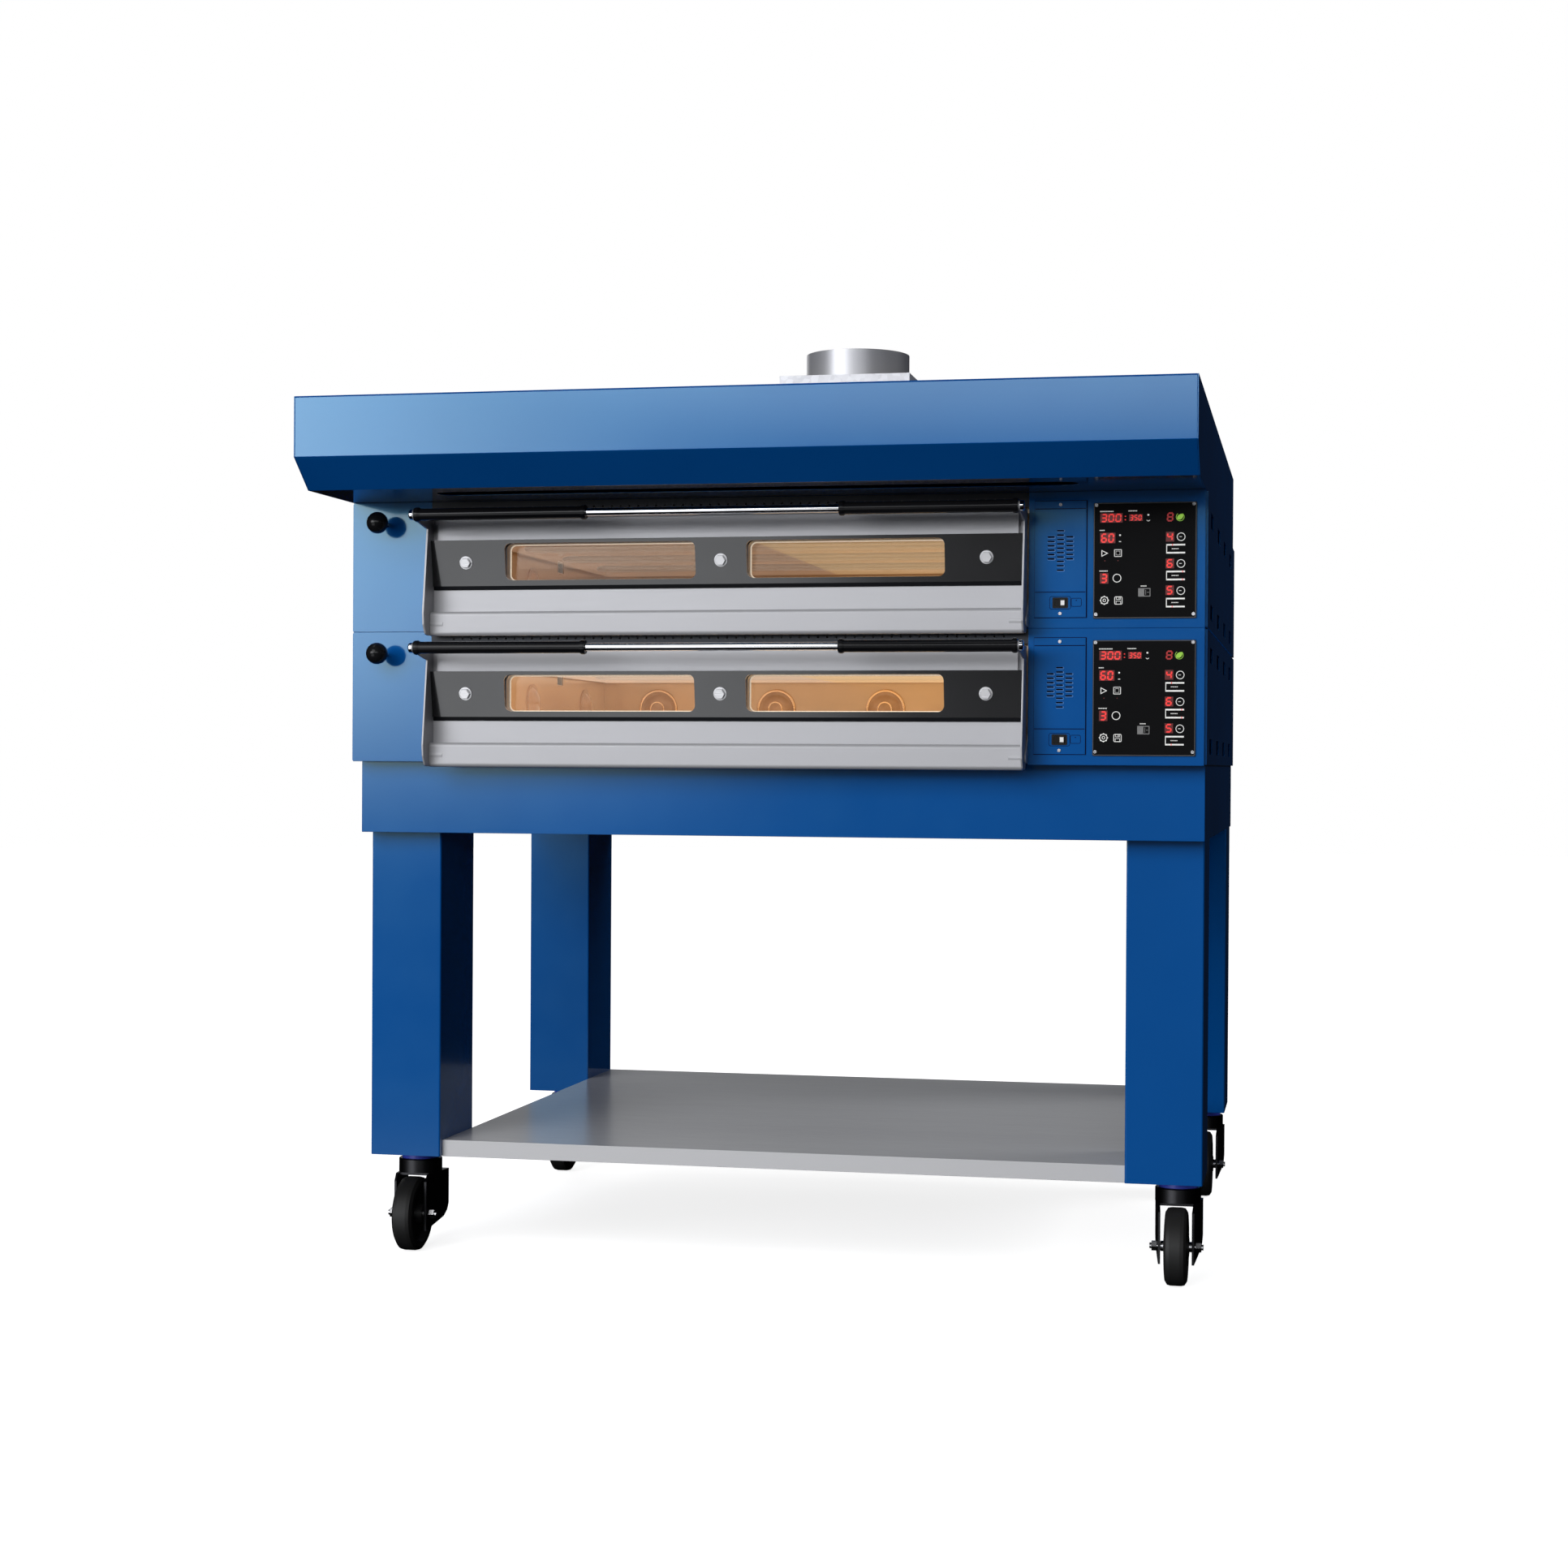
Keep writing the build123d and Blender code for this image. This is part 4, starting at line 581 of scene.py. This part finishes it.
def add_frame(builder, outer, inner, front, depth):
    """Closed frame between two outlines of the same number of points."""
    back = front + depth
    loops = [[builder.verts.new((x, y, z)) for x, z in outline]
             for outline, y in ((outer, front), (inner, front), (inner, back), (outer, back))]
    join_loops(builder, loops + loops[:1])


def circle_points(x, z, radius, count=28, start=0.0):
    angles = [start + math.tau * k / count for k in range(count)]
    return [(x + radius * math.cos(angle), z + radius * math.sin(angle)) for angle in angles]


def rounded_points(x, z, width, height, radius, steps=5):
    """Rounded rectangle about (x, z), anticlockwise."""
    points = []
    for quarter, (sx, sz) in enumerate(((1, 1), (-1, 1), (-1, -1), (1, -1))):
        for k in range(steps + 1):
            angle = math.pi / 2 * (quarter + k / steps)
            points.append((x + sx * (width / 2 - radius) + radius * math.cos(angle),
                           z + sz * (height / 2 - radius) + radius * math.sin(angle)))
    return points


def finish_piece(builder, name, body, material, bevel=0.0, smooth=False):
    """Turns the built mesh into an object that rides on a body."""
    bmesh.ops.recalc_face_normals(builder, faces=builder.faces)
    mesh = bpy.data.meshes.new(name)
    builder.to_mesh(mesh)
    builder.free()
    mesh.materials.append(material)
    if smooth:
        mesh.polygons.foreach_set("use_smooth", [True] * len(mesh.polygons))
    piece = bpy.data.objects.new(name, mesh)
    scene.collection.objects.link(piece)
    if bevel:
        add_bevel(piece, bevel)
    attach(piece, body)


# ---------------------------------------------------------------- control panels

# Seven-segment digits: the segments of each digit, and each segment's ends across and up the digit.
SEGMENTS = {"0": "abcdef", "3": "abcdg", "4": "bcfg", "5": "acdfg", "6": "acdefg", "8": "abcdefg"}
SEGMENT_LINES = {"a": (0, 1, 1, 1), "b": (1, 1, 1, 0.5), "c": (1, 0.5, 1, 0), "d": (0, 0, 1, 0),
                 "e": (0, 0, 0, 0.5), "f": (0, 0.5, 0, 1), "g": (0, 0.5, 1, 0.5)}
SEGMENT_THICKNESS, SEGMENT_LEAN = 0.17, 0.09     # shares of the digit's height
INK = 0.00012       # height of the drawing above the panel


class Panel:
    """Draws flat shapes on one control panel, in millimetres right and down from its top left corner."""

    def __init__(self, left, top, front):
        self.left, self.top, self.front = left, top, front
        self.builder = bmesh.new()

    def at(self, x, y):
        return self.left + x * MM, self.top - y * MM

    def shape(self, points, lift=0):
        """Filled outline; lift raises it above what lies under it."""
        height = INK * (1 + lift)
        add_prism(self.builder, [self.at(*p) for p in points], self.front - height, height)

    def hollow(self, outer, inner):
        """Outline with an opening."""
        add_frame(self.builder, [self.at(*p) for p in outer], [self.at(*p) for p in inner],
                  self.front - INK, INK)

    def bar(self, x0, y0, x1, y1, lift=0):
        self.shape(((x0, y0), (x1, y0), (x1, y1), (x0, y1)), lift)

    def ring(self, x, y, radius, width, count=28, start=0.0):
        self.hollow(circle_points(x, y, radius, count, start),
                    circle_points(x, y, radius - width, count, start))

    def outline(self, x0, y0, x1, y1, width, radius=1.0):
        """Outline of a rounded rectangle, with lines of the given width."""
        middle = ((x0 + x1) / 2, (y0 + y1) / 2)
        self.hollow(rounded_points(*middle, x1 - x0, y1 - y0, radius),
                    rounded_points(*middle, x1 - x0 - 2 * width, y1 - y0 - 2 * width,
                                   max(radius - width, 0.2)))

    def digit(self, value, x, y, width, height):
        """Digit whose segments are six-sided, pointed at both ends, and lean to the right."""
        thick = height * SEGMENT_THICKNESS
        for name in SEGMENTS[value]:
            across_p, up_p, across_q, up_q = SEGMENT_LINES[name]
            p, q = (Vector((thick / 2 + across * (width - thick), thick / 2 + (1 - up) * (height - thick)))
                    for across, up in ((across_p, up_p), (across_q, up_q)))
            along = (q - p).normalized()
            aside = Vector((-along.y, along.x)) * thick / 2
            gap, tip = along * thick * 0.12, along * thick * 0.4
            p, q = p + gap, q - gap
            points = (p, p + tip + aside, q - tip + aside, q, q - tip - aside, p + tip - aside)
            self.shape([(x + u + SEGMENT_LEAN * (height - v), y + v) for u, v in points], 1)

    def number(self, text, x0, x1, y0, y1):
        """Digits side by side in the given box."""
        pitch = (x1 - x0) / len(text)
        for k, value in enumerate(text):
            self.digit(value, x0 + k * pitch, y0, pitch * 0.84, y1 - y0)

    def dashes(self, x0, x1, y0, y1, count):
        """A row of short marks where the real panel has a printed caption."""
        pitch = (x1 - x0) / count
        for k in range(count):
            self.bar(x0 + k * pitch, y0, x0 + (k + 0.72) * pitch, y1)

    def finish(self, name, material):
        finish_piece(self.builder, name, "oven", material)


# Digits with the left, right, top and bottom of each display, and the rows of round symbols.
READOUTS = (("300", 11.9, 47.5, 18.8, 32.8), ("350", 59.9, 80.8, 20.9, 30.6),
            ("60", 11.9, 35.6, 51.4, 67.2), ("3", 11.9, 24.4, 119.0, 134.7),
            ("4", 121.0, 133.2, 51.0, 65.6), ("6", 121.0, 133.2, 95.5, 110.2),
            ("5", 121.0, 133.2, 140.0, 154.7))
ROWS = (58.6, 103.1, 148.2)
PANEL_HEIGHT = 0.194


def draw_digits(panel):
    for text, x0, x1, y0, y1 in READOUTS:
        panel.number(text, x0, x1, y0, y1)
    for y in (22.6, 28.2):
        panel.bar(51.9, y, 53.9, y + 1.6)


def draw_dim_windows(panel):
    for text, x0, x1, y0, y1 in READOUTS:
        panel.bar(x0 - 0.8, y0 - 0.8, x1 + 0.8, y1 + 0.8)
    for x in (19.0, 41.0):
        panel.shape(circle_points(x, 97.3, 0.9, 12))


def draw_icons(panel):
    panel.shape(circle_points(91, 21.4, 1.6, 14))
    panel.shape(((88.2, 29.6), (91, 31.4), (93.8, 29.6), (93.8, 30.6), (91, 32.4), (88.2, 30.6)))
    panel.shape(circle_points(44.2, 54.7, 1.5, 14))
    panel.bar(42.4, 64.8, 46.0, 66.0)
    panel.hollow([(13.4, 79.0), (24.6, 84.8), (13.4, 90.6)], [(14.6, 81.0), (22.2, 84.8), (14.6, 88.6)])
    panel.outline(34.6, 78.4, 47.2, 90.8, 1.0)
    panel.outline(37.4, 81.2, 44.4, 88.0, 0.4, 0.6)
    panel.ring(39.5, 126.5, 7.2, 1.2)
    panel.ring(18.7, 163.5, 6.9, 1.2, 8, math.pi / 8)
    panel.ring(18.7, 163.5, 2.8, 1.0, 16)
    for k in range(8):
        angle = math.tau * k / 8
        panel.shape(circle_points(18.7 + 6.9 * math.cos(angle), 163.5 + 6.9 * math.sin(angle), 0.9, 8))
    panel.outline(35.4, 157.2, 48.8, 170.6, 1.1, 2.2)
    panel.outline(38.4, 157.8, 45.8, 162.4, 0.7, 0.5)
    panel.outline(38.0, 164.6, 46.2, 170.2, 0.7, 0.5)
    panel.bar(42.8, 158.8, 43.8, 161.4)
    for y in ROWS:
        panel.ring(145.3, y, 7.0, 1.1)
        panel.bar(142.4, y - 0.5, 146.4, y + 0.4)
        top = y + 11.9
        panel.bar(121.0, top, 122.3, top + 15.9)
        panel.bar(121.0, top, 152.0, top + 2.6)
        panel.bar(121.0, top + 13.3, 152.0, top + 15.9)
        panel.dashes(130.0, 142.0, top + 7.2, top + 8.6, 5)
    panel.dashes(10.6, 33.6, 13.9, 15.6, 9)
    panel.dashes(57.8, 73.0, 13.6, 15.2, 6)
    panel.dashes(10.2, 19.0, 45.6, 47.2, 4)
    panel.dashes(10.2, 24.6, 113.6, 115.2, 6)
    panel.dashes(79.0, 89.4, 139.2, 140.8, 4)


def draw_red_ticks(panel):
    for x, y in ((130.6, 70.5), (147.6, 115.0), (147.6, 128.3), (130.6, 173.4)):
        panel.bar(x, y - 0.2, x + 1.2, y + 2.8, 1)


def draw_socket(panel):
    panel.outline(74.9, 143.6, 95.2, 157.6, 1.3, 0.8)
    panel.bar(76.2, 144.9, 85.0, 156.3)
    panel.bar(87.0, 146.4, 87.8, 154.8)
    panel.bar(89.4, 150.2, 93.0, 151.0)


def draw_leaf(panel):
    panel.shape([(138.2, 29.8), (138.6, 25.2), (141.0, 22.2), (144.6, 20.6), (148.8, 20.2), (148.6, 24.6),
                 (146.8, 28.2), (143.6, 30.2), (140.4, 30.0)])


def draw_leaf_ring(panel):
    """Open ring round the leaf, from short straight pieces."""
    middle_x, middle_y, outer, inner = 143.5, 25.5, 7.0, 6.2
    for k in range(22):
        a, b = (math.radians(-50 + 13 * (k + step)) for step in (0, 1))
        panel.shape([(middle_x + radius * math.cos(angle), middle_y + radius * math.sin(angle))
                     for radius, angle in ((outer, a), (outer, b), (inner, b), (inner, a))])


def draw_border(panel):
    panel.hollow(rounded_points(85.5, 97, 170.2, 193.2, 2), rounded_points(85.5, 97, 167.4, 190.0, 3))


def make_panel_graphics():
    """Displays, symbols and border of both control panels, one piece per colour."""
    low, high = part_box("control_panels")
    lit_red = glowing("lit_red", (0.90, 0.030, 0.025), 0.66)
    dim_red = glowing("dim_red", (0.14, 0.003, 0.003), 0.25)
    white = glowing("icon_white", (0.86, 0.86, 0.84), 0.44)
    grey = glowing("socket_grey", (0.20, 0.20, 0.20), 0.30)
    green = glowing("leaf_green", (0.30, 0.60, 0.05), 0.50)
    border = painted("panel_border", (0.030, 0.030, 0.033), (0.045, 0.045, 0.050), 0.35)
    drawings = (("dim_windows", draw_dim_windows, dim_red), ("digits", draw_digits, lit_red),
                ("icons", draw_icons, white), ("red_ticks", draw_red_ticks, lit_red),
                ("socket", draw_socket, grey), ("leaf", draw_leaf, green),
                ("leaf_ring", draw_leaf_ring, green), ("border", draw_border, border))
    for level, top in (("lower", low.z + PANEL_HEIGHT), ("upper", high.z)):
        for name, draw, material in drawings:
            panel = Panel(low.x, top, low.y)
            draw(panel)
            panel.finish(level + "_panel_" + name, material)
        panel = Panel(low.x, top, low.y)
        panel.number("8", 121.0, 134.0, 17.8, 33.0)
        unlit = glowing(level + "_dim_digit", (0.45, 0.012, 0.012), 0.35)
        panel.finish(level + "_panel_dim_digit", unlit)


# ---------------------------------------------------------------- doors

WINDOW_CENTERS = (-0.290, 0.144)
WINDOW_WIDTH, WINDOW_HEIGHT = 0.343, 0.064
SEAL_DEPTH, SEAL_GAP, SEAL_OVERLAP, SEAL_SHOWING = 0.0024, 0.0002, 0.012, 0.004
# Sizes of the black strip under each dark band, which is painted shadow in the step there.
SHADOW_STRIP_HEIGHT, SHADOW_STRIP_DEPTH, SHADOW_STRIP_MARGIN = 0.0068, 0.0035, 0.002
SHADOW_STRIP_DROP, SHADOW_STRIP_INSET = 0.0032, 0.0021      # below the band's lower edge, and into its back


def make_window_seals():
    """Pale seal round the edge of each pane, behind the opening in the dark band; its faint glow is painted
    light for the oven light caught at the glass edge.
    """
    # painted light: the seal's material glows though the seal is no lamp
    seal = glowing("painted_glow_window_seal", (0.95, 0.80, 0.62), 0.55)
    for level in DECKS:
        low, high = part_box(level + "_door_glass")
        middle_z = (low.z + high.z) / 2
        builder = bmesh.new()
        for x in WINDOW_CENTERS:
            outer = rounded_points(x, middle_z, WINDOW_WIDTH + SEAL_OVERLAP, WINDOW_HEIGHT + SEAL_OVERLAP,
                                   0.014, 8)
            inner = rounded_points(x, middle_z, WINDOW_WIDTH - SEAL_SHOWING, WINDOW_HEIGHT - SEAL_SHOWING,
                                   0.009, 8)
            add_frame(builder, outer, inner, low.y - SEAL_DEPTH - SEAL_GAP, SEAL_DEPTH)
        finish_piece(builder, level + "_window_seals", level + "_door", seal, 0.0006)


def make_band_shadow_strips():
    """Black strip in the step below the dark band: painted shadow where that step lies in shade."""
    # painted shadow: a near-black strip where the step under the band is in shade
    shadow_strip_paint = painted("band_shadow_strip", (0.0012, 0.0014, 0.0022), (0.0020, 0.0024, 0.0040), 0.6, specular=0.1)
    for level in DECKS:
        low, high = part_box(level + "_door_band")
        outline = rounded_points((low.x + high.x) / 2, low.z - SHADOW_STRIP_DROP, high.x - low.x - SHADOW_STRIP_MARGIN,
                                 SHADOW_STRIP_HEIGHT, 0.0012, 3)
        builder = bmesh.new()
        add_prism(builder, outline, high.y - SHADOW_STRIP_INSET, SHADOW_STRIP_DEPTH)
        finish_piece(builder, level + "_band_shadow_strip", level + "_door", shadow_strip_paint, 0.0004)


# ---------------------------------------------------------------- oven lamps

BACK_LAMPS = (-0.471, -0.209, 0.029, 0.291)     # across the back wall
SIDE_LAMPS = (0.560, 0.930)                     # along the left wall, from the front fascia
LAMP_HEIGHT = 0.118
WALL_THICKNESS = 0.0022
RING_LIFT = 0.0001
RING_STEPS = 40
# outer radius, inner radius, height and side slope of the rim on the wall and of the ring in the dome
WALL_RIM = (0.0430, 0.0362, 0.0048, 0.0012)
SOCKET_RING = (0.0168, 0.0128, 0.0022, 0.0005)
SOCKET_LIFT = 0.0118


def add_ring(builder, center, normal, outer, inner, height, lean):
    """Turned ring that stands on a wall: its middle, the wall's normal, radii, height and side slope."""
    across = UP.cross(normal)
    angles = [math.tau * k / RING_STEPS for k in range(RING_STEPS)]
    spokes = [math.cos(angle) * across + math.sin(angle) * UP for angle in angles]
    profile = ((outer, 0), (outer - lean, height), (inner + lean, height), (inner, 0))
    loops = [[builder.verts.new(center + radius * spoke + rise * normal) for spoke in spokes]
             for radius, rise in profile]
    join_loops(builder, loops + loops[:1])


def add_lamp_rings(builder, center, normal):
    """Wide rim on the wall, and a small ring that holds the middle of the glass dome."""
    add_ring(builder, center, normal, *WALL_RIM)
    add_ring(builder, center + SOCKET_LIFT * normal, normal, *SOCKET_RING)


def make_lamp_rims(metal):
    front_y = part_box("fascia_panels")[0].y
    chamber_low, chamber_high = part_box("baking_chambers")
    back_wall = chamber_high.y - WALL_THICKNESS - RING_LIFT
    left_wall = chamber_low.x + WALL_THICKNESS + RING_LIFT
    for level, floor_z in deck_floors():
        builder = bmesh.new()
        lamp_z = floor_z + LAMP_HEIGHT
        for x in BACK_LAMPS:
            add_lamp_rings(builder, Vector((x, back_wall, lamp_z)), Vector((0, -1, 0)))
        for y in SIDE_LAMPS:
            add_lamp_rings(builder, Vector((left_wall, front_y + y, lamp_z)), Vector((1, 0, 0)))
        finish_piece(builder, level + "_lamp_rims", "oven", metal, smooth=True)


# ---------------------------------------------------------------- service covers and switches

# Places on a service cover: heights are from its bottom edge, and x is from its middle line.
COVER_HEIGHT = 0.1954
COVER_LINES = (0.0424, 0.1824)
SLOT_COLUMNS = ((-0.0156, 6, 0.0042), (0.0, 10, 0.0), (0.0156, 6, 0.0042))     # x, slots, extra height
SLOT_PITCH, SLOT_MIDDLE = 0.00735, 0.1124
SLOT_SHAPE, RIM_SHAPE = (0.0120, 0.0026, 0.0012), (0.0138, 0.0042, 0.0020)      # width, height, corner
# the pale rims are set off to the right and down, where the painted highlight falls
HIGHLIGHT_SHIFT_X, HIGHLIGHT_SHIFT_Z = 0.0007, -0.0006
SWITCH_X, SWITCH_Z = 0.0002, 0.0244
SENSOR_X, SENSOR_Z = 0.0272, 0.0250
SEAM_WIDTH, SEAM_DEPTH, SEAM_LIFT = 0.0018, 0.0007, 0.00006


def add_cover_seams(builder, middle_x, bottom, low, high):
    """Two cross seams, the gap round the cover, the outlines of the switch and the sensor, its pinhole."""
    width, seam_front = high.x - low.x, low.y - SEAM_LIFT
    for line in COVER_LINES:
        add_prism(builder, rounded_points(middle_x, bottom + line, width - 0.0016, 0.0014, 0.0005, 2),
                  seam_front, SEAM_DEPTH)
    middle_z = bottom + COVER_HEIGHT / 2
    outer = rounded_points(middle_x + 0.0006, middle_z, width + 0.0024, COVER_HEIGHT + 0.0024, 0.0012)
    inner = rounded_points(middle_x, middle_z, width - 0.0004, COVER_HEIGHT - 0.0004, 0.0004)
    add_frame(builder, outer, inner, high.y - 0.0004, 0.0003)
    for x, z, across, tall, radius in ((SWITCH_X, SWITCH_Z, 0.0362, 0.0222, 0.0041),
                                       (SENSOR_X, SENSOR_Z, 0.0180, 0.0146, 0.0032)):
        place = (middle_x + x, bottom + z)
        add_frame(builder, rounded_points(*place, across, tall, radius),
                  rounded_points(*place, across - SEAM_WIDTH, tall - SEAM_WIDTH, radius - SEAM_WIDTH / 2),
                  seam_front, SEAM_DEPTH)
    add_prism(builder, circle_points(middle_x + SENSOR_X, bottom + SENSOR_Z + 0.0034, 0.0010, 12),
              seam_front, SEAM_DEPTH)


def make_cover_details():
    """Dark seams of painted shadow, louvre rims in a lighter blue as a painted highlight, and a black sheet
    behind the slots as painted shade, on the small cover beside each door.
    """
    low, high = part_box("vent_covers")
    middle_x = (low.x + high.x) / 2
    dark = painted("seam_shadow", (0.0010, 0.006, 0.030), (0.0014, 0.008, 0.038), 0.6, specular=0.05)
    # painted highlight: the raised louvre rims are a lighter, glossier blue than the cover
    rim = painted("louvre_rim_highlight", (0.030, 0.150, 0.430), (0.040, 0.170, 0.470), 0.35, specular=0.3, coat=0.6)
    # painted shade: a near-black sheet behind the slots, so that they read dark
    painted_shade_sheet = painted("louvre_painted_shade_sheet", (0.0010, 0.0012, 0.0016), (0.0020, 0.0022, 0.0028), 0.8, specular=0.05)
    for level, bottom in (("lower", low.z), ("upper", high.z - COVER_HEIGHT)):
        seams = bmesh.new()
        add_cover_seams(seams, middle_x, bottom, low, high)
        finish_piece(seams, level + "_cover_seams", "oven", dark)

        rims = bmesh.new()
        for slot_x, count, lift in SLOT_COLUMNS:
            x = middle_x + slot_x
            for k in range(count):
                z = bottom + SLOT_MIDDLE + lift + (k - (count - 1) / 2) * SLOT_PITCH
                add_frame(rims, rounded_points(x + HIGHLIGHT_SHIFT_X, z + HIGHLIGHT_SHIFT_Z, *RIM_SHAPE, 4),
                          rounded_points(x, z, *SLOT_SHAPE, 4), low.y - 0.0005, 0.0006)
        finish_piece(rims, level + "_louvre_rims", "oven", rim, 0.0002)

        backing = bmesh.new()
        add_prism(backing, rounded_points(middle_x, bottom + SLOT_MIDDLE, 0.0480, 0.0750, 0.0020),
                  high.y + 0.0002, 0.0006)
        finish_piece(backing, level + "_louvre_painted_shade_sheet", "oven", painted_shade_sheet)


# The raised half of a rocker, seen from above: its pivot from the switch's right front corner, the foot of
# the sloping face from the pivot, and the face's length and outward direction.
ROCKER_PIVOT = Vector((-0.009056, 0.006510))
FACE_START, FACE_ALONG = Vector((-0.000418, -0.003978)), Vector((0.008784, -0.002532))
FACE_OUTWARD = Vector((-0.277, -0.961))
MARK_THICKNESS, MARK_MARGIN = 0.0003, 0.0018


def make_rocker_marks(material):
    """Pale inlay on the raised half of each rocker switch."""
    for level in DECKS:
        low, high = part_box(level + "_power_switch")
        start = Vector((high.x, low.y)) + ROCKER_PIVOT + FACE_START
        foot = [start + FACE_ALONG * share for share in (0.14, 0.88)]
        outline = foot + [point + FACE_OUTWARD * MARK_THICKNESS for point in foot[::-1]]
        builder = bmesh.new()
        loops = [[builder.verts.new((x, y, z)) for x, y in outline]
                 for z in (low.z + MARK_MARGIN, high.z - MARK_MARGIN)]
        builder.faces.new(loops[0])
        builder.faces.new(loops[1][::-1])
        join_loops(builder, loops)
        finish_piece(builder, level + "_rocker_mark", level + "_switch", material, 0.0001)


# ---------------------------------------------------------------- the whole scene

materials = make_slot_materials()
dress_nodes(materials)
soften_edges()

make_panel_graphics()
make_cover_details()
make_rocker_marks(materials["switch_mark"])
make_window_seals()
make_band_shadow_strips()
make_lamp_rims(materials["lamp_rim"])

make_camera()
make_world()
make_lights()
make_surroundings()
